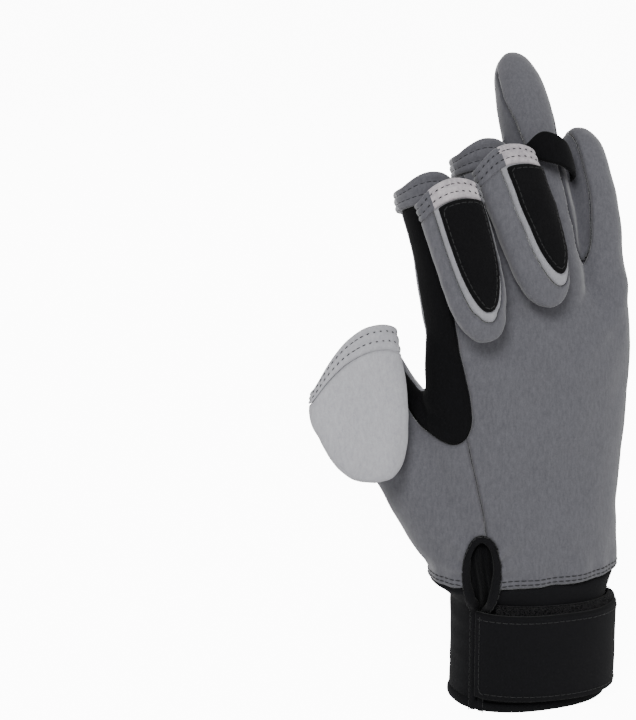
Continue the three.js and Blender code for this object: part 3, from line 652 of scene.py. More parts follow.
def in_fourchette(points, first, second, start, end, reach=5.6, depth=9.5):
    height = np.linspace(start - 12, end + 12, 90)
    line = (finger_line(FINGERS[first], height) + finger_line(FINGERS[second], height)) / 2
    travel = unit(np.gradient(line, axis=0) * [0, 1, 1])
    y, z = points[:, 1], points[:, 2]
    gap = (y[:, None] - line[:, 1]) ** 2 + (z[:, None] - line[:, 2]) ** 2
    i = gap.argmin(1)
    off = points - line[i]
    deep = off[:, 1] * travel[i, 2] - off[:, 2] * travel[i, 1]
    narrow = depth * (1 - 0.55 * ease(height[i], 0.5 * (start + end), end))
    narrow = np.where(deep < 0, narrow * (0.45 + 0.55 * ease(height[i], start, start + 34)), narrow)
    narrow = narrow * np.sqrt(np.clip((end - height[i]) / 22, 0, 1))
    return np.min([
        reach * (0.2 + 0.8 * ease(height[i], start - 2, start + 20)) - np.abs(off[:, 0]),
        narrow - np.abs(deep),
        height[i] - start, end - height[i],
    ], 0)


def on_palm(rows):
    return np.array([(side * PALM_WIDTH, CUFF_HEIGHT + along * PALM_HEIGHT) for side, along in rows])


def rounded_outline(corners, rounds=2):
    """An outline with its corners cut again and again until it is a smooth curve."""
    for _ in range(rounds):
        following = np.roll(corners, -1, 0)
        corners = np.stack([corners * 0.75 + following * 0.25,
                            corners * 0.25 + following * 0.75], 1).reshape(-1, 2)
    return corners


def rounded_line(points, rounds=3):
    for _ in range(rounds):
        first, second = points[:-1] * 0.75 + points[1:] * 0.25, points[:-1] * 0.25 + points[1:] * 0.75
        cut = np.stack([first, second], 1).reshape(-1, 2)
        points = np.concatenate([points[:1], cut, points[-1:]])
    return points


def inside_outline(x, z, outline):
    """The distance to an outline, above zero inside it."""
    a, b = outline, np.roll(outline, -1, 0)
    point = np.stack([x, z], 1)[:, None]
    along = b - a
    share = np.clip(((point - a) * along).sum(-1) / np.maximum((along**2).sum(-1), 1e-9), 0, 1)
    away = np.linalg.norm(point - a - share[..., None] * along, axis=-1).min(1)
    crossed = (a[:, 1] > z[:, None]) != (b[:, 1] > z[:, None])
    level = np.where(np.abs(along[:, 1]) < 1e-9, 1e-9, along[:, 1])
    at = a[:, 0] + (z[:, None] - a[:, 1]) * along[:, 0] / level
    odd = (crossed & (x[:, None] < at)).sum(1) % 2 == 1
    return np.where(odd, away, -away)


WEB_OUTLINE = rounded_outline(on_palm([
    (-0.7, 1.5), (-0.5, 1.5), (-0.445, 0.98), (-0.37, 0.72), (-0.345, 0.6), (-0.355, 0.53),
    (-0.42, 0.49), (-0.5, 0.52), (-0.565, 0.6), (-0.64, 0.78), (-0.7, 0.93),
]))
THUMB_SEAM = rounded_line(on_palm([(-0.27, -0.2), (-0.27, 0.16), (-0.37, 0.53), (-0.58, 1.3)]))
SLIT_TURN, SLIT_SIDE, SLIT_WIDTH = math.radians(-37), -12.8, 1.6
KEYHOLE = np.array([5.3, 14.6])
KEYHOLE_SIDE, KEYHOLE_CENTRE = -10.6, 58
BINDING = 2.2


def in_web(points):
    inside = inside_outline(points[:, 0], points[:, 2], WEB_OUTLINE)
    return np.minimum(inside, before_meeting(points) + 3)


def on_thumb_side(points):
    return np.interp(points[:, 2], THUMB_SEAM[:, 1], THUMB_SEAM[:, 0]) - points[:, 0]


def turned(points, angle):
    c, s = math.cos(angle), math.sin(angle)
    return np.stack([points[:, 0] * c - points[:, 1] * s,
                     points[:, 0] * s + points[:, 1] * c, points[:, 2]], 1)


def slit_local(points):
    return turned(points, -SLIT_TURN)


def from_slit(points):
    return turned(points, SLIT_TURN)


def in_slit(points):
    local = slit_local(points)
    off = np.stack([local[:, 0] - KEYHOLE_SIDE, local[:, 2] - KEYHOLE_CENTRE], 1)
    share = np.sqrt(((off / KEYHOLE) ** 2).sum(1))
    steep = np.sqrt(((off / KEYHOLE**2) ** 2).sum(1))
    keyhole = np.where(share < 0.05, KEYHOLE[0], (1 - share) * share / np.maximum(steep, 1e-6))
    slit = np.minimum(SLIT_WIDTH / 2 - np.abs(local[:, 0] - SLIT_SIDE), -off[:, 1])
    return np.minimum(np.maximum(keyhole, slit), -local[:, 1] - 4)


FOURCHETTES = {
    "fourchette_index_middle": ("index", "middle", 160, 217),
    "fourchette_middle_ring": ("middle", "ring", 160, 248),
    "fourchette_ring_little": ("ring", "little", 160, 249),
}


def before_hems(points):
    """The distance down to the hem of an open finger or the thumb; the rest is far from it."""
    x, z = points[:, 0], points[:, 2]
    far = np.full(len(points), 40.0)
    high = z > 172
    part = (finger_line(FINGERS["index"], z)[:, 0] + finger_line(FINGERS["middle"], z)[:, 0]) / 2
    end = (finger_line(FINGERS["middle"], z)[:, 0] + finger_line(FINGERS["ring"], z)[:, 0]) / 2
    for name, here in (("index", x < part), ("middle", (x >= part) & (x < end))):
        mouth = finger_line(FINGERS[name], np.array([KNUCKLES + FINGERS[name]["reach"]], float))[0]
        past = (points - mouth) @ np.array([0, math.sin(MOUTH_TILT), math.cos(MOUTH_TILT)])
        far = np.where(high & here, -past - HEM, far)
    off = points - THUMB_ROOT
    along = off @ THUMB_TRAVEL
    on_thumb = (along > 45) & (np.abs(off @ THUMB_ACROSS) < 26) & (x < -46) & (z < 165)
    return np.where(on_thumb, np.minimum(far, THUMB_LENGTH - HEM - along), far)

# %% [markdown]
# ## Life in the skin
# Cloth over nothing is never quite even. Long soft waves run over the whole hand, the cloth is
# drawn into fine folds where the keyhole and the thumb's crotch pull at it, and the fingers'
# webs are stretched.

# %% Life in the skin
def with_waves(points, triangles):
    normals = point_normals(points, triangles)
    soft = waves(points, 0.045, 3.0) * 0.9 + waves(points, 0.11, 9.0) * 0.35
    local = slit_local(points)
    from_keyhole = np.hypot(local[:, 0] - KEYHOLE_SIDE, (local[:, 2] - 66) * 0.7)
    turn = np.arctan2(local[:, 2] - KEYHOLE_CENTRE, local[:, 0] - KEYHOLE_SIDE)
    pulled = np.exp(-np.maximum(from_keyhole - 8, 0) / 7) * (local[:, 1] < 0)
    folds = np.sin(turn * 9 + 1.3 * waves(points, 0.12, 4.0)) * pulled * 0.75
    low = ease(-points[:, 2], -75, -54)
    gathers = waves(points * [1, 1, 0.25], 0.13, 17.0) * low * 1.7
    slant = points[:, 0] * 0.62 - points[:, 2] * 0.5
    knuckles = np.exp(-((points[:, 2] - 158) / 22) ** 2) * ease(points[:, 0], 2, 28)
    drag = np.sin(slant * 0.5 + 2.2 * waves(points, 0.04, 33.0)) * knuckles * 0.4
    thumb = np.linalg.norm(points - np.array([-46, 2, 118]), axis=1)
    drawn = np.sin((points[:, 0] * 0.5 + points[:, 2]) * 0.55 + 2 * waves(points, 0.07, 21.0))
    crotch = drawn * np.exp(-(thumb / 22) ** 2) * 0.35
    moved = points + normals * (soft + folds + gathers + crotch + drag)[:, None]
    return moved, point_normals(moved, triangles)


skin_points, skin_normals = with_waves(skin_points, skin_triangles)
UNCUT = {"v": skin_points, "n": skin_normals, "t": skin_triangles}
SKIN = clip(UNCUT, UNCUT["v"][:, 2] - CUFF_HEIGHT)
SKIN = clip(SKIN, before_hems(SKIN["v"]))
SEAM_GAP = 0.14
thread_rows = {"charcoal": [], "black": []}
print("skin after its ends are cut", len(SKIN["t"]), "triangles")

# %% [markdown]
# ## Panels
# Every panel is the skin cut along its seams with a hair's gap. Its edge rolls down into the
# seam, so two neighbours make the valley that a sewn seam is.

# %% Panels
def cut_out(*tests):
    cloth = SKIN
    for test in tests:
        cloth = clip(cloth, test(cloth["v"]) - SEAM_GAP)
    return cloth


def between(name):
    first, second, start, end = FOURCHETTES[name]
    return lambda points: in_fourchette(points, first, second, start, end)


def outside(test, gap=0.0):
    return lambda points: -test(points) - gap


not_between = [outside(between(name)) for name in FOURCHETTES]
beside_slit = outside(in_slit, BINDING - 1.0)
back = cut_out(before_meeting, *not_between, outside(in_web), outside(on_thumb_side), beside_slit)
thumb_back = cut_out(before_meeting, *not_between, outside(in_web), on_thumb_side, beside_slit)
palm = cut_out(outside(before_meeting), *not_between, outside(in_web))
web = cut_out(in_web, *not_between)

WALL, ALLOWANCE = 2.0, 3.0
belongs(thicken("back_panel_cloth", back, WALL, 1.1, [mid_cloth, lining]), "back_cloth", "back_panel")
belongs(thicken("thumb_back_cloth", thumb_back, WALL, 1.1, [mid_cloth, lining]), "back_cloth",
        "thumb_back_panel")
belongs(thicken("palm_panel_cloth", palm, WALL, 1.1, [light_cloth, lining]), "palm_cloth", "palm_panel")
belongs(thicken("web_gusset_cloth", web, WALL, 1.0, [side_cloth, lining]), "black_cloth", "web_gusset")
for name in FOURCHETTES:
    belongs(thicken(name + "_cloth", cut_out(between(name)), WALL, 0.7, [dark_cloth, lining]),
            "side_cloth", name)

# %% [markdown]
# The turned-in edges lie behind every seam as a narrow strip of lining, so no light comes through
# where two panels meet.

# %% Seam allowances
uncut = clip(SKIN, -in_slit(SKIN["v"]) - BINDING)
near_seam = np.min(np.abs([
    before_meeting(uncut["v"]), in_web(uncut["v"]), on_thumb_side(uncut["v"]),
    *(between(name)(uncut["v"]) for name in FOURCHETTES),
]), 0)
turned_in = clip(uncut, ALLOWANCE - near_seam)
belongs(thicken("seam_allowances", turned_in, 0.4, 0.2, [lining], lift=-WALL - 0.05), None)

# %% [markdown]
# ## Hems
# At an open fingertip the cloth is turned in and sewn down with two rows. A bevel could round the
# edge, but it can't give the soft rolls that the rows pull in, so the hem is lofted as a closed
# loop: up the outside over the rolls, round the edge and down the inside. The cloths meet in it
# as they do below, so its colour changes round the finger.

# %% Hems
HEM_PROFILE = np.array([
    (-7.9, -0.9), (-7.8, 0.0), (-6.8, 0.45), (-6.0, 0.35), (-5.4, -0.05), (-4.8, 0.4), (-3.9, 0.6),
    (-3.0, 0.4), (-2.5, 0.0), (-1.9, 0.45), (-1.1, 0.55), (-0.4, 0.3), (0.0, -0.4), (0.1, -1.0),
    (0.0, -1.7), (-0.6, -2.3), (-2.5, -2.5), (-5.0, -2.5), (-7.5, -2.4), (-7.9, -1.8),
])


def section_at(path, distance):
    """The section a distance along a straight path from its last one."""
    return {key: value if key == "square" else value[-1:] for key, value in path.items()} | {
        "centre": path["centre"][-1:] + path["travel"][-1:] * distance,
    }


STITCH_ROWS = (4, 8)


def ring_row(ring, travel):
    """One closed row of a band for the thread: its points and the way out of the band."""
    out = ring - ring.mean(0)
    out = unit(out - np.outer(out @ travel, travel))
    return np.concatenate([np.concatenate([ring, out], 1), [[*ring[0], *out[0]]]])


def hem_loop(path, sides, arch):
    """The hem's band. Its back edge is drawn up in the middle, as a soft mouth that nothing fills is."""
    angle = np.linspace(0, 2 * math.pi, sides, endpoint=False)
    travel = path["travel"][-1]
    front = ease(-np.sin(angle) * np.sign(np.cross(travel, path["across"][-1])[1]), -0.3, 0.6)
    drawn = arch * front * (1 - np.cos(angle) ** 2)
    rings = np.stack([
        ring_points(section_at(path, along), sides, out)[0]
        + np.outer(drawn * (1 + max(along, -HEM) / HEM), travel) for along, out in HEM_PROFILE
    ])
    ripple = waves(rings[0], 0.16, 31.0) * 0.25
    rings = rings + travel * ripple[None, :, None]
    thread_rows["charcoal"] += [ring_row(rings[k], travel) for k in STITCH_ROWS]
    return rings


def loop_piece(name, rings, materials, choose, **values):
    """A closed band: its rows of points run round a profile that meets itself."""
    rows, sides = rings.shape[:2]
    i, j = np.arange(rows), (np.arange(rows) + 1) % rows
    a = i[:, None] * sides + np.arange(sides)
    b = i[:, None] * sides + (np.arange(sides) + 1) % sides
    c = j[:, None] * sides + (np.arange(sides) + 1) % sides
    d = j[:, None] * sides + np.arange(sides)
    quads = np.stack([a, b, c, d], -1).reshape(-1, 4)
    points = rings.reshape(-1, 3)
    middle = points[quads].mean(1)
    return put(name, points, quads, materials, choose(middle), edge=np.full(len(points), FAR), **values)


def stub_path(name):
    rows = [*STUB_ROWS[:-1], (1.0, 1, 1.04)]
    return finger_path(FINGERS[name], rows, True)


def straight_thumb():
    return thumb_path(rows=[*THUMB_ROWS[:-1], (1.0, 1, 1)])


def hem_colours(middle):
    return np.where(before_meeting(middle) < 0, 1, 0)


for name, path, sides, arch, slot in (("index_hem", stub_path("index"), 120, 4.5, "side_cloth"),
                                      ("middle_hem", stub_path("middle"), 120, 4.5, "side_cloth"),
                                      ("thumb_hem", straight_thumb(), 150, 0, "palm_cloth")):
    hem = loop_piece(name + "_cloth", hem_loop(path, sides, arch), [mid_cloth, light_cloth], hem_colours)
    belongs(hem, slot, name)

# %% [markdown]
# ## Folded-back caps
# The tips of the index finger, the middle finger and the thumb are pouches that hinge back over
# the hand. Each is a grid of points, round and down from its mouth, that remembers its place
# across and along, so its hem, its face and its hook patch are cut from the same grid.

# %% Folded-back caps
CAP_ROWS = [(0, 1, 1), (0.2, 0.99, 0.98), (0.45, 0.97, 0.95), (0.68, 0.9, 0.9), (0.84, 0.75, 0.78),
            (0.94, 0.52, 0.6), (0.985, 0.28, 0.4), (1, 0.06, 0.12)]
CAP_WIDTH, CAP_THICK, CAP_LENGTH, CAP_CLEAR = 26.4, 11.4, 54, 0.35
THUMB_CAP_WIDTH, THUMB_CAP_THICK, THUMB_CAP_LENGTH = 41, 12, 46
FINGER_ARCH, THUMB_ARCH, ARCH_REACH = 5.0, 9.5, 26.0
THUMB_CAP_ROWS = [(0, 1, 1), (0.2, 0.99, 0.98), (0.45, 0.94, 0.95), (0.68, 0.82, 0.9),
                  (0.84, 0.66, 0.78), (0.94, 0.46, 0.6), (0.985, 0.26, 0.4), (1, 0.06, 0.12)]


def dorsal_depth(finger, height):
    over_finger = curl(height) - 1.1 * finger["depth"] / 2
    share = (height - CUFF_HEIGHT) / PALM_HEIGHT
    palm_front = -glide(np.minimum(share, 1), PALM_ROWS, 2) * PALM_DEPTH / 2
    return np.where(share >= 1, over_finger, np.minimum(palm_front, over_finger))


def hanging_path(line, width, thick, across, levelled, rows, count=110):
    along = np.sin(np.linspace(0, math.pi / 2, count))
    travel = unit(line(along + 0.02) - line(along - 0.02))
    share = np.minimum(1, along / levelled)[:, None]
    sideways = unit(across * (1 - share) + np.array([1.0, 0, 0]) * share)
    return {"centre": line(along), "across": -sideways, "travel": travel, "square": CAP_OVAL,
            "width": glide(along, rows, 1) * width, "depth": glide(along, rows, 2) * thick}


def finger_cap_path(finger, foot, shift):
    top = KNUCKLES + finger["reach"]
    mouth = finger_line(finger, np.array([float(top)]))[0]

    def line(share):
        height = mouth[2] - share * CAP_LENGTH
        side = mouth[0] + shift + (foot * PALM_WIDTH - mouth[0] - shift) * share
        depth = dorsal_depth(finger, height) - CAP_THICK / 2 - CAP_CLEAR
        return np.stack([side, depth, height], 1)

    lean = unit(line(np.array([1.0]))[0] - line(np.array([0.0]))[0])
    across = np.array([1.0, 0, 0]) - lean * lean[0]
    return hanging_path(line, CAP_WIDTH, CAP_THICK, across, 4, CAP_ROWS)


def thumb_cap_path():
    mouth = THUMB_ROOT + THUMB_TRAVEL * THUMB_LENGTH + np.array([-6, 0, 6])
    front = THUMB_DEPTH / 2 + 0.4 + THUMB_CAP_THICK / 2 + CAP_CLEAR - 1.8
    start = mouth - [0, front, 0]

    def line(share):
        aside = np.outer(share * np.abs(share), [5.5, 0, 0])
        return start + aside - np.outer(share, [1, 12, THUMB_CAP_LENGTH])

    return hanging_path(line, THUMB_CAP_WIDTH, THUMB_CAP_THICK, THUMB_ACROSS, 0.6, THUMB_CAP_ROWS)


def sections_by(path, distances):
    """The sections of a hanging cap at distances from its mouth; before the mouth it runs straight."""
    down = walked(path["centre"])
    at = np.maximum(distances, 0)
    found = {"square": path["square"]}
    for key in ("centre", "across", "travel"):
        found[key] = np.stack([np.interp(at, down, path[key][:, k]) for k in range(3)], 1)
    for key in ("width", "depth"):
        found[key] = np.interp(at, down, path[key])
    found["travel"], found["across"] = unit(found["travel"]), unit(found["across"])
    found["centre"] = found["centre"] + found["travel"] * np.minimum(distances, 0)[:, None]
    return found


def arch_of(path, across, deep, along, arch):
    """How far the front lip of a cap's mouth is drawn up, most in its middle."""
    share = np.clip(across / (path["width"][0] / 2), -1, 1)
    return arch * (1 - share**2) * ease(-deep, -3, 3) * (1 - ease(along, 0, ARCH_REACH))


def cap_cloth(path, sides, seed, arch):
    rings = ring_points(path, sides)
    rows = len(rings)
    points = np.concatenate([rings.reshape(-1, 3), [rings[-1].mean(0)]])
    quads = tube_faces(rows, sides)
    i, j = np.arange(sides), (np.arange(sides) + 1) % sides
    last = (rows - 1) * sides
    low = np.stack([np.full(sides, rows * sides), last + i, last + j], 1)
    triangles = np.concatenate([halved(quads), low])
    angle = np.linspace(0, 2 * math.pi, sides, endpoint=False)
    across = (path["width"][:, None] / 2) * rounded(np.cos(angle), CAP_OVAL)
    deep = (path["depth"][:, None] / 2) * rounded(np.sin(angle), CAP_OVAL)
    down = walked(path["centre"])
    along = np.repeat(down[:, None], sides, 1)
    lifted = arch_of(path, across, deep, along, arch)
    points[:-1] -= (path["travel"][:, None] * lifted[..., None]).reshape(-1, 3)
    normals = point_normals(points, triangles)
    swell = waves(points, 0.09, seed) * 0.5 + waves(points, 0.2, seed + 5) * 0.18
    shy = ease(np.append(along.ravel(), down[-1]), 0, 9)
    points = points + normals * (swell * shy)[:, None]
    return {"v": points, "n": point_normals(points, triangles), "t": triangles,
            "across": np.append(across.ravel(), 0), "deep": np.append(deep.ravel(), 0),
            "room": np.append(np.repeat(path["depth"] * 0.35, sides), 0.1),
            "along": np.append(along.ravel(), down[-1])}


def face_distance(cloth, width, start, end, length, shift, power=3.2):
    """How far a point of a cap's front is inside a tongue with a rounded end."""
    share = np.clip((cloth["along"] - start * length) / ((end - start) * length), 0, 1)
    half = width / 2 * np.sqrt(np.maximum(1 - share**power, 0))
    side = (half - np.abs(cloth["across"] + shift)) * (0.55 + 0.45 * (1 - share**4))
    return np.min([side, cloth["along"] - start * length, end * length - cloth["along"],
                   -cloth["deep"]], 0)


CAP_HEM = 7.0


def finger_cap(name, path, seed, face_width, face_shift, patch_width, patch_shift):
    whole = cap_cloth(path, 110, seed, FINGER_ARCH)
    length = whole["along"].max()
    body = clip(whole, whole["along"] - CAP_HEM)
    face_at = face_distance(body, face_width, -0.02, 0.88, length, face_shift)
    face = clip(body, face_at - 0.1)
    body = clip(body, -face_at - 0.1)
    body_piece = thicken(name + "_cloth", body, 1.8, 0.9, [mid_cloth, lining])
    face_piece = thicken(name + "_face_cloth", face, 1.6, 0.7, [light_cloth, lining], lift=0.15)
    patch_at = face_distance(whole, patch_width, 0.128, 0.8, length, patch_shift, 2.6)
    thread_rows["black"] += lifted_rows(level_paths(whole, patch_at - 1.3), 1.2)
    patch_piece = thicken(name + "_hook_patch", clip(whole, patch_at), 1.1, 0.45, [tape], lift=1.15)
    belongs(body_piece, "back_cloth", name)
    belongs(face_piece, "pale_cloth", name + "_face")
    belongs(patch_piece, "hook_tape", name + "_hook")


def cap_hem_loop(path, sides, arch):
    profile = np.array([
        (7.2, -0.9), (7.0, 0.05), (6.2, 0.45), (5.4, 0.3), (4.8, -0.05), (4.2, 0.35), (3.4, 0.5),
        (2.6, 0.35), (2.1, -0.05), (1.5, 0.35), (0.8, 0.45), (0.2, 0.2), (-0.1, -0.4), (-0.15, -0.9),
        (0.0, -1.4), (0.6, -1.9), (2.5, -2.1), (5.0, -2.1), (7.0, -1.9),
    ])
    angle = np.linspace(0, 2 * math.pi, sides, endpoint=False)
    across = path["width"][0] / 2 * rounded(np.cos(angle), path["square"])
    deep = path["depth"][0] / 2 * rounded(np.sin(angle), path["square"])
    loops = []
    for along, out in profile:
        at = sections_by(path, np.array([along]))
        lifted = arch_of(path, across, deep, along, arch)
        loops.append(ring_points(at, sides, out)[0] - np.outer(lifted, at["travel"][0]))
    rings = np.stack(loops[::-1])
    ripple = waves(rings[-1], 0.16, 47.0) * 0.3
    rings = rings + path["travel"][0] * ripple[None, :, None]
    thread_rows["charcoal"] += [ring_row(rings[-1 - k], path["travel"][0]) for k in STITCH_ROWS]
    return rings


index_cap_path = finger_cap_path(FINGERS["index"], -0.31, 1.6)
middle_cap_path = finger_cap_path(FINGERS["middle"], 0.01, 1.5)
finger_cap("index_cap", index_cap_path, 51.0, 21.0, 1.2, 18.2, 1.7)
finger_cap("middle_cap", middle_cap_path, 63.0, 18.4, 4.6, 15.6, 5.2)


def cap_hem_colours(path, half_width, shift):
    def choose(middle):
        off = middle - path["centre"][0]
        deep = unit(np.cross(path["travel"][0], path["across"][0]))
        within = np.abs(off @ path["across"][0] + shift) < half_width
        return np.where(within & (off @ deep < 0), 1, 0)
    return choose


for name, path, half_width, shift in (("index_cap", index_cap_path, 9.8, 1.0),
                                      ("middle_cap", middle_cap_path, 8.0, 5.4)):
    hem = loop_piece(name + "_hem", cap_hem_loop(path, 120, FINGER_ARCH), [mid_cloth, hem_cloth],
                     cap_hem_colours(path, half_width, shift))
    belongs(hem, "pale_cloth")

thumb_path_down = thumb_cap_path()
thumb_whole = cap_cloth(thumb_path_down, 140, 75.0, THUMB_ARCH)
thumb_body = clip(thumb_whole, thumb_whole["along"] - CAP_HEM)
thumb_front = clip(thumb_body, 1.6 - thumb_body["deep"] - 0.1)
thumb_rear = clip(thumb_body, thumb_body["deep"] - 1.6 - 0.1)
belongs(thicken("thumb_cap_cloth", thumb_front, 1.8, 1.0, [pale_cloth, lining], lift=0.2), "palm_cloth",
        "thumb_cap")
belongs(thicken("thumb_cap_rear", thumb_rear, 1.8, 1.0, [mid_cloth, lining]), "back_cloth")
belongs(loop_piece("thumb_cap_hem", cap_hem_loop(thumb_path_down, 160, THUMB_ARCH), [pale_cloth],
                   lambda middle: np.zeros(len(middle), int)), "palm_cloth")

# %% [markdown]
# ## Neoprene cuff
# The cuff is a tube of thick neoprene that tucks in under the panels. It is lofted through a table
# of ovals, and then cut by the same distance to the slit and the keyhole that the panels use, so
# the opening is one clean edge through both. The edges are bound with a rolled tape.

# %% Neoprene cuff
CUFF_ROWS = [(0, 64, 46, 2), (15.6, 63, 45.3, 2), (43, 64, 45.5, 2), (48, 71, 45.8, 0.6),
             (51.4, 76.6, 45.0, -1.0), (52.6, 73.6, 41.8, -1.04), (57, 73.2, 41.4, -1.04)]
BAND_HEIGHT, CUFF_TOP = 4.5, 57
FLAT_SEAM, CUFF_RADIUS = math.radians(36), 32


def cuff_path(bottom, top, count):
    height = np.linspace(bottom, top, count)
    centre = np.stack([glide(height, CUFF_ROWS, 3), 0 * height, height], 1)
    return {"centre": centre, "across": np.tile([1.0, 0, 0], (count, 1)),
            "travel": np.tile([0, 0, 1.0], (count, 1)), "square": WRIST_OVAL,
            "width": glide(height, CUFF_ROWS, 1), "depth": glide(height, CUFF_ROWS, 2)}


def open_tube(path, sides):
    points = ring_points(path, sides).reshape(-1, 3)
    quads = tube_faces(len(path["centre"]), sides)
    triangles = halved(quads)
    return {"v": points, "n": point_normals(points, triangles), "t": triangles}


cuff = open_tube(cuff_path(BAND_HEIGHT - 0.6, CUFF_TOP, 64), 240)
local = slit_local(cuff["v"])
soft = waves(cuff["v"], 0.06, 5.0) * 0.5
creases = waves(cuff["v"] * [1, 1, 3.0], 0.07, 8.0) * 0.35 * ease(cuff["v"][:, 2], 6, 14)
seam_turn = np.arctan2(cuff["v"][:, 1], cuff["v"][:, 0]) - FLAT_SEAM
flat_seam = -0.5 * np.exp(-(seam_turn * CUFF_RADIUS / 0.9) ** 2)
cuff["v"] = cuff["v"] + cuff["n"] * (soft + creases + flat_seam)[:, None]
cuff["n"] = point_normals(cuff["v"], cuff["t"])
cuff = clip(cuff, -in_slit(cuff["v"]) - BINDING * 0.5)
belongs(thicken("cuff_neoprene", cuff, 3.2, 0.8, [neoprene]), "neoprene", "cuff")

# %% [markdown]
# ## Binding and hem tape
# A bound edge is a folded tape that rides over the raw edge, so a rounded profile is swept along
# the edge. The path of the keyhole's binding is worked out in the slit's own flat frame and then
# laid on the wrist.

# %% Binding and hem tape
lower_wrist = open_tube(cuff_path(-4, 50, 60), 200)
wrist_tree = BVHTree.FromPolygons(
    [*lower_wrist["v"].tolist(), *UNCUT["v"].tolist()],
    [*lower_wrist["t"].tolist(), *(UNCUT["t"] + len(lower_wrist["v"])).tolist()],
)


def on_wrist(side, height):
    """The wrist's surface and its normal at a place in the slit's flat frame."""
    start = from_slit(np.array([[side, -70.0, height]]))[0]
    way = from_slit(np.array([[0.0, 1.0, 0.0]]))[0]
    hit, normal, _, _ = wrist_tree.ray_cast(Vector(start), Vector(way))
    normal = np.array(normal)
    return np.array(hit), normal * -np.sign(normal @ way)


def even_line(points, step):
    along = walked(points)
    at = np.linspace(0, along[-1], max(3, int(along[-1] / step)))
    return np.stack([np.interp(at, along, points[:, k]) for k in range(points.shape[1])], 1)


def relaxed(points, rounds):
    for _ in range(rounds):
        inner = (points[:-2] + 2 * points[1:-1] + points[2:]) / 4
        points = np.concatenate([points[:1], inner, points[-1:]])
    return points


def keyhole_line(grow):
    a, b = KEYHOLE + grow
    half = SLIT_WIDTH / 2 + grow
    aside = SLIT_SIDE - KEYHOLE_SIDE
    first, last = math.acos((half - aside) / a), math.acos((half + aside) / a)
    angle = np.linspace(math.pi + first, -last, 90)
    hole = np.stack([KEYHOLE_SIDE + a * np.cos(angle), KEYHOLE_CENTRE + b * np.sin(angle)], 1)
    left = np.stack([np.full(30, SLIT_SIDE - half), np.linspace(0.4, hole[0, 1], 30)], 1)
    right = np.stack([np.full(30, SLIT_SIDE + half), np.linspace(hole[-1, 1], 0.4, 30)], 1)
    return relaxed(even_line(np.concatenate([left, hole, right]), 0.9), 8)


def laid(line):
    points, normals = (np.array(rows) for rows in zip(*(on_wrist(*place) for place in line)))
    return relaxed(points, 6), unit(relaxed(normals, 12))


def swept(points, normals, profile):
    """A closed profile of (sideways, outward) points swept along a line that lies on a surface."""
    travel = unit(np.gradient(points, axis=0))
    side = unit(np.cross(travel, normals))
    up = np.cross(side, travel)
    return points[:, None] + side[:, None] * profile[None, :, :1] + up[:, None] * profile[None, :, 1:]


def closed_profile(half_width, low, high, sides=18, squareness=2.6):
    angle = np.linspace(0, 2 * math.pi, sides, endpoint=False)
    x = rounded(np.cos(angle), squareness) * half_width
    y = rounded(np.sin(angle), squareness) * (high - low) / 2 + (high + low) / 2
    return np.stack([x, y], 1)


def swept_piece(name, rings, materials):
    points, triangles = closed_tube(rings)
    if signed_volume(points, triangles) < 0:
        triangles = triangles[:, ::-1]
    return put(name, points, triangles, materials, edge=np.full(len(points), FAR))


def signed_volume(points, triangles):
    a, b, c = (points[triangles[:, i]] for i in range(3))
    return float((a * np.cross(b, c)).sum() / 6)


binding_points, binding_normals = laid(keyhole_line(1.0))
binding_rings = swept(binding_points, binding_normals, closed_profile(1.55, -3.4, 0.75))
belongs(swept_piece("keyhole_binding_tape", binding_rings, [neoprene]), "neoprene", "keyhole_binding")


stitch_points, stitch_normals = laid(keyhole_line(2.1))
thread_rows["black"] += [np.concatenate([stitch_points + stitch_normals * 0.72, stitch_normals], 1)]


def band_line(height):
    """Once round the bottom of the cuff, from one side of the slit to the other."""
    path = cuff_path(height, height + 0.01, 2)
    ring = ring_points(path, 721, 0.0, np.linspace(0, 2 * math.pi, 721))[0]
    ring = ring[in_slit(ring) < -1.6]
    angle = np.arctan2(ring[:, 1], ring[:, 0])
    gap = np.arctan2(*from_slit(np.array([[SLIT_SIDE, -20.0, 0.0]]))[0, [1, 0]])
    ring = ring[np.argsort((angle - gap) % (2 * math.pi))]
    line = even_line(ring, 1.2)
    normal = line * [1 / 34**2, 1 / 23**2, 0]
    return line, unit(normal)


band_points, band_normals = band_line(2.3)
band_profile = closed_profile(2.25, -3.9, 0.75, sides=20)
belongs(swept_piece("cuff_band_tape", swept(band_points, band_normals, band_profile), [neoprene]),
        "neoprene", "cuff_band")

# %% [markdown]
# ## Gusset behind the keyhole
# A thin stretch cloth closes the keyhole from behind and lies in upright folds, so that the wrist
# can open wide. A cloth simulation could find the folds, but four soft ridges pressed into a
# smooth sheet give the same look and come out the same each time.

# %% Gusset behind the keyhole
def sheet(grid, out=None, **values):
    """A cloth from a grid of points, turned so that its normals go the way of `out`, row by row."""
    rows, columns = grid.shape[:2]
    a = (np.arange(rows - 1)[:, None] * columns + np.arange(columns - 1)).ravel()
    triangles = halved(np.stack([a, a + 1, a + columns + 1, a + columns], 1))
    points = grid.reshape(-1, 3)
    normals = point_normals(points, triangles)
    if out is not None and (normals * np.repeat(out, columns, 0)).sum() < 0:
        triangles, normals = triangles[:, ::-1], -normals
    return {"v": points, "n": normals, "t": triangles, **values}


GUSSET_FOLDS = ((-4.4, 1.6, 1.0), (-1.2, 3.0, 1.2), (2.0, 2.0, 0.9), (5.0, 1.2, 0.9))


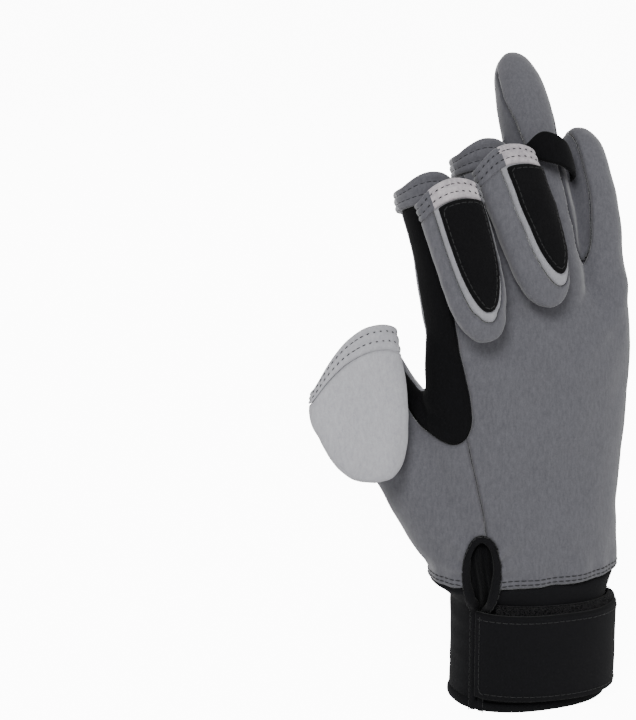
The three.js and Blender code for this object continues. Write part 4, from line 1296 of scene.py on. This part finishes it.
def gusset_cloth():
    """The wrist's surface behind the keyhole, smoothed as a grid of depths, with folds pressed in."""
    side, height = np.meshgrid(np.linspace(-10, 10, 90), np.linspace(-18, 18, 110))
    coarse = [[slit_local(on_wrist(KEYHOLE_SIDE + x, KEYHOLE_CENTRE + z)[0][None])[0, 1]
               for x in np.linspace(-10, 10, 9)] for z in np.linspace(-18, 18, 9)]
    terms = lambda x, z: np.stack([x**i * z**k for i in range(3) for k in range(3)], -1)
    grid = np.meshgrid(np.linspace(-1, 1, 9), np.linspace(-1, 1, 9))
    fit = np.linalg.lstsq(terms(*grid).reshape(-1, 9), np.ravel(coarse), rcond=None)[0]
    depth = terms(side / 10, height / 18) @ fit + 4.2
    lean = side + 0.06 * height + 0.5 * np.sin(height * 0.25)
    folds = sum(rise * np.exp(-((lean - at) / wide) ** 2) for at, rise, wide in GUSSET_FOLDS)
    folds *= ease(-np.abs(height + 1), -16, -7)
    local = np.stack([KEYHOLE_SIDE + side + 0.24 * folds, depth - folds, KEYHOLE_CENTRE + height], -1)
    return sheet(from_slit(local.reshape(-1, 3)).reshape(local.shape))


belongs(thicken("keyhole_gusset_cloth", gusset_cloth(), 0.9, 0.3, [side_cloth]), "black_cloth",
        "keyhole_gusset")

# %% [markdown]
# ## Strap and loop strip
# The strap is sewn down beside the slit, runs round the little finger's side of the wrist and
# closes on a strip of loop tape. Both follow the cuff's oval at their own height above it, which
# keeps them clear of the cuff without any collision test.

# %% Strap and loop strip
def wrist_band(start, end, top, drop, width, stand, seed):
    count, rows = 170, 64
    share = np.linspace(0, 1, count)
    turn = start + (end - start) * share
    down = np.linspace(0, 1, rows)
    x = rounded(np.sin(turn), WRIST_OVAL) * CUFF_WIDTH / 2
    y = -rounded(np.cos(turn), WRIST_OVAL) * CUFF_DEPTH / 2
    power = 2 - 2 / WRIST_OVAL
    slope = np.stack([np.sign(x) * np.abs(np.sin(turn)) ** power / CUFF_WIDTH,
                      np.sign(y) * np.abs(np.cos(turn)) ** power / CUFF_DEPTH, 0 * x], 1)
    out = unit(slope)
    base = np.stack([x + CUFF_SHIFT, y, 0 * x], 1) + out * stand(share)[:, None]
    height = top - drop * share[:, None] - width * down[None, :]
    points = np.repeat(base[:, None], rows, 1)
    points[..., 2] = height
    bulge = waves(points.reshape(-1, 3), 0.05, seed).reshape(count, rows) * 0.5
    points += np.repeat(out[:, None], rows, 1) * bulge[..., None]
    return sheet(points, out, run=np.repeat(walked(base), rows), fall=np.tile(down * width, count))


slit_spot = from_slit(np.array([[SLIT_SIDE, -28.5, 0.0]]))[0]
slit_ratio = ((slit_spot[0] - CUFF_SHIFT) / CUFF_WIDTH) / (-slit_spot[1] / CUFF_DEPTH)
slit_at = math.copysign(math.atan(abs(slit_ratio) ** (WRIST_OVAL / 2)), slit_ratio)
strap_start, strap_end = slit_at - math.radians(2), math.radians(98)
strip_start, strip_end = slit_at + math.radians(15), math.radians(92)


def strap_stand(share):
    return 1.4 + 0.7 * ease(share, 0, 0.07) + 3 * ease(share, 0.85, 1) + 2.2


DROP, STRAP_TOP, STRAP_WIDTH, STRIP_TOP, STRIP_WIDTH = 4, 42.5, 35.5, 45.5, 33
strap = wrist_band(strap_start, strap_end, STRAP_TOP, DROP, STRAP_WIDTH, strap_stand, 12.0)
strap_length = strap["run"].max()
print("strap length in mm", round(strap_length, 1))


def rounded_box(cloth, length, width, radius):
    """The distance inside a strip whose far end has rounded corners."""
    x = cloth["run"]
    y = np.abs(cloth["fall"] - width / 2)
    over_x = np.maximum(x - (length - radius), 0)
    over_y = np.maximum(y - (width / 2 - radius), 0)
    corner = radius - np.hypot(over_x, over_y)
    straight = np.minimum(length - x, width / 2 - y)
    return np.minimum(np.where((over_x > 0) & (over_y > 0), corner, straight), x + 0.01)


strap_inside = rounded_box(strap, strap_length - 0.05, STRAP_WIDTH - 0.1, 5)
thread_rows["black"] += lifted_rows(level_paths(strap, strap_inside - 2.4, 40), 0.12)
strap = clip(strap, strap_inside)
belongs(thicken("wrist_strap_cloth", strap, 2.2, 0.8, [neoprene]), "neoprene", "wrist_strap")

def strip_stand(share):
    return 1.5 + 0 * share


strip = wrist_band(strip_start, strip_end, STRIP_TOP, DROP, STRIP_WIDTH, strip_stand, 14.0)
belongs(thicken("loop_strip_tape", strip, 1.1, 0.4, [tape]), "hook_tape", "loop_strip")

# %% [markdown]
# ## Pull band
# A short loop of webbing stands off the ring finger's side, to pull the glove off by. It could be
# a curve with a flat profile. A sheet on the finger's own section is used, because the band must
# taper and droop towards one end.

# %% Pull band
def pull_band():
    count, rows = 70, 20
    finger = FINGERS["ring"]
    here = finger_line(finger, np.array([213.0]))[0]
    travel = unit(finger_line(finger, np.array([214.0]))[0] - here)
    across = unit(np.array([1.0, 0, 0]) - travel * travel[0])
    deep = np.cross(travel, across)
    share = np.linspace(0, 1, count)
    turn = np.radians(-46 + 102 * share)
    off = 0.8 + 1.4 + 5.5 * np.sin(share * math.pi)
    side, forward = np.sin(turn), -np.cos(turn)
    out = unit(np.outer(side, across) + np.outer(forward, deep))
    line = (here + np.outer(side * (finger["width"] / 2 + off), across)
            + np.outer(forward * (finger["depth"] / 2 + off), deep))
    down = np.linspace(-1, 1, rows)
    half = 6.5 * (0.35 + 0.65 * ease(share, 0, 0.4) - 0.5 * ease(share, 0.6, 1))
    line = line - np.outer(9.5 * ease(share, 0.25, 1.1) - 1.5, travel)
    points = line[:, None] + travel * (half[:, None] * down)[..., None]
    cupped = 0.45 * down**2
    points = points - out[:, None] * cupped[None, :, None]
    return sheet(points, out)


belongs(thicken("pull_band_webbing", pull_band(), 1.4, 0.5, [side_cloth]), "black_cloth", "pull_band")

# %% [markdown]
# ## Moulded grip
# The palm carries a big patch and an oval of rubber. A Shrinkwrap could lay a flat shape on the
# hand, but both are simply cut from the skin and lifted off it, so they fit it exactly. Their fine
# raised lines are drawn later, after the thread.

# %% Moulded grip
PALM_GRIP = rounded_outline(on_palm([
    (-0.5, 1.34), (-0.43, 0.98), (-0.4, 0.77), (-0.31, 0.72), (-0.085, 0.655), (0.02, 0.53),
    (-0.015, 0.39), (-0.11, 0.21), (-0.1, 0.155), (0.22, 0.055), (0.28, 0.1), (0.35, 0.29),
    (0.4, 0.6), (0.415, 0.75), (0.38, 0.81), (0.03, 0.99), (-0.04, 1.07), (-0.06, 1.45),
    (-0.24, 1.45), (-0.245, 1.06), (-0.275, 1.06), (-0.33, 1.34),
]))
angle = np.linspace(0, 2 * math.pi, 48, endpoint=False)
THUMB_GRIP = np.stack([
    -0.345 * PALM_WIDTH + np.cos(angle) * (1 - 0.14 * np.sin(angle)) * 16,
    CUFF_HEIGHT + 0.39 * PALM_HEIGHT + np.sin(angle) * 25,
], 1)


def grip_patch(name, outline, node):
    palm_side = clip(SKIN, -before_meeting(SKIN["v"]) - 0.4)
    patch = clip(palm_side, before_hems(palm_side["v"]) - 1.0)
    patch = clip(patch, inside_outline(patch["v"][:, 0], patch["v"][:, 2], outline))
    for test in not_between:
        patch = clip(patch, test(patch["v"]) + 0.8)
    belongs(thicken(name, patch, 1.5, 0.5, [grip_rubber], lift=GRIP_LIFT), "grip", node)
    return patch


GRIP_LIFT = 0.85
palm_patch = grip_patch("palm_grip_rubber", PALM_GRIP, "palm_grip")
thumb_patch = grip_patch("thumb_grip_rubber", THUMB_GRIP, "thumb_grip")

# %% [markdown]
# ## Thread
# Stitches repeat along paths, which is work for geometry nodes. The rows were gathered while the
# panels were made: each is a line of places with the way out of the cloth. The tree below turns
# a row into a curve, spaces it evenly, and lays one bent thread on every place.

# %% Thread
def extra_rows():
    """Rows that run round the wrist a little above the cuff."""
    for cloth, up, shade in ((back, 1.7, "black"), (back, 3.4, "black"), (thumb_back, 1.7, "black"),
                             (thumb_back, 3.4, "black"), (palm, 2.2, "charcoal")):
        rows = level_paths(cloth, cloth["v"][:, 2] - CUFF_HEIGHT - up)
        thread_rows[shade] += lifted_rows(rows, 0.1)


def cuff_seam():
    """The wavy cover thread of the cuff's flat seam."""
    height = np.arange(6, 50, 0.9)
    side = np.where(np.arange(len(height)) % 2 == 0, 1.2, -1.2)
    path = cuff_path(0.0, 51.0, 200)
    middle = path["centre"]
    centre = np.stack([np.interp(height, middle[:, 2], middle[:, k]) for k in range(3)], 1)
    turn = FLAT_SEAM + side / CUFF_RADIUS
    ways = np.stack([np.cos(turn), np.sin(turn), 0 * turn], 1)
    found = [cuff_tree.ray_cast(Vector(c + w * 60), Vector(-w)) for c, w in zip(centre, ways)]
    return np.array([[*hit[0], *hit[1]] for hit in found if hit[0] is not None])


def new_tree(name, lengths, others=()):
    """A geometry node tree with named inputs. Lengths are given in millimetres."""
    sizes = [(label, "Float", value * MM) for label, value in lengths]
    inputs = [("Geometry", "Geometry", None), *sizes, *others, ("Material", "Material", None)]
    return new_group("GeometryNodeTree", name, inputs, [("Geometry", "Geometry")])


def evenly_stepped(tree, rows, step):
    curve = add_node(tree, "GeometryNodeMeshToCurve", {"Mesh": rows}).outputs["Curve"]
    steps = {"Curve": curve, "Length": step}
    return add_node(tree, "GeometryNodeResampleCurve", steps, mode="LENGTH").outputs["Curve"]


def round_along(tree, curve, radius, sides, caps):
    circle = add_node(tree, "GeometryNodeCurvePrimitiveCircle", {"Resolution": sides, "Radius": radius})
    swept = {"Curve": curve, "Profile Curve": circle.outputs["Curve"], "Fill Caps": caps}
    return add_node(tree, "GeometryNodeCurveToMesh", swept).outputs["Mesh"]


def bow(tree, length, height, dip):
    """A bent thread along X. Its ends dip by a share of half its length."""
    half = maths(tree, "MULTIPLY", length, 0.5)
    back, low = (maths(tree, "MULTIPLY", half, factor) for factor in (-1.0, -dip))
    start, middle, end = (add_node(tree, "ShaderNodeCombineXYZ", {"X": x, "Z": z}).outputs[0]
                          for x, z in ((back, low), (None, height), (half, low)))
    bent = {"Resolution": 5, "Start": start, "Middle": middle, "End": end}
    return add_node(tree, "GeometryNodeCurveQuadraticBezier", bent).outputs["Curve"]


def on_points(tree, points, shape, rotation):
    placed = {"Points": points, "Instance": shape, "Rotation": rotation}
    return add_node(tree, "GeometryNodeInstanceOnPoints", placed).outputs["Instances"]


def finished(tree, geometry, material):
    """The last steps of every tree: its instances are made real and get their material."""
    real = add_node(tree, "GeometryNodeRealizeInstances", {"Geometry": geometry}).outputs["Geometry"]
    dressed = add_node(tree, "GeometryNodeSetMaterial", {"Geometry": real, "Material": material})
    add_node(tree, "NodeGroupOutput", {"Geometry": dressed.outputs["Geometry"]})
    return tree


def make_stitch_tree():
    tree, given = new_tree("stitch_row", [
        ("Pitch", 2.6), ("Stitch Length", 2.0), ("Thread Radius", 0.2), ("Bow", 0.28),
    ])
    places = evenly_stepped(tree, given["Geometry"], given["Pitch"])
    bent = bow(tree, given["Stitch Length"], given["Bow"], 0.2)
    stitch = round_along(tree, bent, given["Thread Radius"], 6, True)
    lift = add_node(tree, "GeometryNodeInputNamedAttribute", {"Name": "lift"}, data_type="FLOAT_VECTOR")
    tangent = add_node(tree, "GeometryNodeInputTangent").outputs["Tangent"]
    align = "FunctionNodeAlignRotationToVector"
    upright = add_node(tree, align, {"Vector": lift.outputs["Attribute"]}, axis="Z").outputs["Rotation"]
    along = add_node(tree, align, {"Rotation": upright, "Vector": tangent}, axis="X", pivot_axis="Z")
    return finished(tree, on_points(tree, places, stitch, along.outputs["Rotation"]), given["Material"])


def grown(name, source, tree, settings):
    """The tree's result as a mesh of its own. The inputs are set by their socket's identifier."""
    maker = source.modifiers.new("maker", "NODES")
    maker.node_group = tree
    for item in tree.interface.items_tree:
        if item.in_out == "INPUT" and item.name in settings:
            maker[item.identifier] = settings[item.name]
    graph = bpy.context.evaluated_depsgraph_get()
    mesh = bpy.data.meshes.new_from_object(source.evaluated_get(graph), depsgraph=graph)
    source.modifiers.remove(maker)
    removed(source)
    mesh.name = name
    return link_new(name, mesh)


def rows_as_edges(rows):
    mesh = bpy.data.meshes.new("rows")
    places = np.concatenate([row[:, :3] for row in rows]) * MM
    edges, count = [], 0
    for row in rows:
        edges += [(count + i, count + i + 1) for i in range(len(row) - 1)]
        count += len(row)
    mesh.from_pydata(places.tolist(), edges, [])
    lift = np.concatenate([row[:, 3:] for row in rows]).ravel().astype(np.float32)
    mesh.attributes.new("lift", "FLOAT_VECTOR", "POINT").data.foreach_set("vector", lift)
    return link_new("rows", mesh)


extra_rows()
cuff_tree = BVHTree.FromPolygons(cuff["v"].tolist(), cuff["t"].tolist())
stitch_tree = make_stitch_tree()
for shade, material in (("charcoal", charcoal_thread), ("black", black_thread)):
    rows = rows_as_edges([even_line(row, 0.8) for row in thread_rows[shade]])
    belongs(grown("stitches_" + shade, rows, stitch_tree, {"Material": material}), None)
seam_thread = grown("cuff_seam_thread", rows_as_edges([cuff_seam()]), stitch_tree,
                    {"Material": black_thread, "Pitch": 1.3 * MM, "Stitch Length": 1.9 * MM})
belongs(seam_thread, None)

# %% [markdown]
# ## Lines of the grip
# The raised lines are the level lines of a soft noise, as on a map: they wander, close in on each
# other and never cross. They break off here and there. A second tree gives each line its round
# section.

# %% Lines of the grip
def grip_rows(patch, seed):
    inner = clip(patch, rim_distance(patch) - 1.3)
    points = inner["v"]
    warp = waves(points, 0.035, seed) * 12
    bent = points + np.stack([warp, 0 * warp, -warp], 1)
    field = waves(bent * [1, 0.4, 0.75], 0.034, seed + 9) + 0.22 * waves(bent, 0.085, seed + 2)
    rows = []
    for level in np.arange(-0.72, 0.73, 0.115):
        for row in level_paths(inner, field - level, 7):
            row = relaxed(even_line(row, 0.7), 5)
            kept = waves(row[:, :3], 0.09, seed + 30 + 7 * level) > -0.22
            for part in np.split(np.arange(len(row)), np.flatnonzero(np.diff(kept.astype(int))) + 1):
                if kept[part[0]] and len(part) > 6:
                    rows.append(row[part])
    return lifted_rows(rows, GRIP_LIFT + 0.12)


def make_line_tree():
    tree, given = new_tree("raised_line", [("Step", 0.8), ("Radius", 0.3)])
    line = evenly_stepped(tree, given["Geometry"], given["Step"])
    return finished(tree, round_along(tree, line, given["Radius"], 6, True), given["Material"])


line_tree = make_line_tree()
for name, patch, seed in (("palm_grip", palm_patch, 101.0), ("thumb_grip", thumb_patch, 140.0)):
    rows = rows_as_edges(grip_rows(patch, seed))
    belongs(grown(name + "_lines", rows, line_tree, {"Material": grip_line}), "grip")

# %% [markdown]
# ## Loops of the tape
# The strip above the strap is loop tape. Short hair loops are strewn over the part that shows, and
# each leans its own way. The seed is fixed, so the strip always looks the same.

# %% Loops of the tape
def make_fuzz_tree():
    tree, given = new_tree(
        "tape_loops", [("Loop Length", 1.1), ("Hair Radius", 0.05), ("Loop Height", 1.5)],
        [("Density", "Float", 5.0 / MM**2), ("Seed", "Int", 7)],
    )
    strewn = add_node(tree, "GeometryNodeDistributePointsOnFaces", {
        "Mesh": given["Geometry"], "Density": given["Density"], "Seed": given["Seed"],
    })
    hair = bow(tree, given["Loop Length"], given["Loop Height"], 0.0)
    loop = round_along(tree, hair, given["Hair Radius"], 4, False)
    turn = add_node(tree, "FunctionNodeRandomValue", {
        "Min": (-0.5, -0.5, 0), "Max": (0.5, 0.5, 6.28), "Seed": given["Seed"],
    }, data_type="FLOAT_VECTOR")
    leaning = add_node(tree, "FunctionNodeRotateRotation", {
        "Rotation": strewn.outputs["Rotation"], "Rotate By": turn.outputs["Value"],
    }, rotation_space="LOCAL").outputs["Rotation"]
    return finished(tree, on_points(tree, strewn.outputs["Points"], loop, leaning), given["Material"])


shown = clip(strip, 5.5 - strip["fall"])
source = put("shown", shown["v"] + shown["n"] * 0.05, shown["t"], [])
loops = grown("loop_strip_fuzz", source, make_fuzz_tree(), {"Material": black_thread})
belongs(loops, "hook_tape")

# %% [markdown]
# ## Studio
# A pale floor that the camera sees as bright as the sky behind it, one large soft key from the
# upper left, a weaker fill from the right and a rim from behind.

# %% Studio
PAPER = 11.0


def for_the_camera(tree, plain, seen):
    """One strength for the light that a shader gives, and another for what the camera sees."""
    seen_straight = add_node(tree, "ShaderNodeLightPath").outputs["Is Camera Ray"]
    return maths(tree, "MULTIPLY_ADD", seen_straight, seen - plain, plain)


def studio_floor():
    mesh = bpy.data.meshes.new("studio_floor")
    mesh.from_pydata([(-9, -9, 0), (9, -9, 0), (9, 9, 0), (-9, 9, 0)], [], [(0, 1, 2, 3)])
    material = bpy.data.materials.new("studio_paper")
    material.use_nodes = True
    shader = material.node_tree.nodes["Principled BSDF"]
    for key, value in (("Base Color", (0.92, 0.92, 0.92, 1)), ("Roughness", 0.9),
                       ("Emission Color", (1, 1, 1, 1))):
        shader.inputs[key].default_value = value
    glow = for_the_camera(material.node_tree, 0, PAPER)
    material.node_tree.links.new(glow, shader.inputs["Emission Strength"])
    mesh.materials.append(material)
    link_new("studio_floor", mesh)


def area_light(name, place, size, power):
    light = bpy.data.lights.new(name, "AREA")
    light.shape = "RECTANGLE"
    light.size, light.size_y = size
    light.energy = power
    lamp = link_new(name, light)
    lamp.location = place
    lamp.rotation_euler = (Vector((0, 0, 0.12)) - Vector(place)).to_track_quat("-Z", "Y").to_euler()


studio_floor()
area_light("key", (-0.9, -1.2, 1.4), (0.7, 0.7), 41)
area_light("fill", (1.3, -0.9, 0.6), (1.2, 1.2), 9)
area_light("rim", (0.5, 1.4, 1.2), (1.2, 0.8), 12)
print("lights", len(bpy.data.lights))
world = bpy.data.worlds.new("studio")
bpy.context.scene.world = world
world.use_nodes = True
sky = world.node_tree.nodes["Background"]
sky.inputs["Color"].default_value = (1, 1, 1, 1)
world.node_tree.links.new(for_the_camera(world.node_tree, 0.5, PAPER), sky.inputs["Strength"])
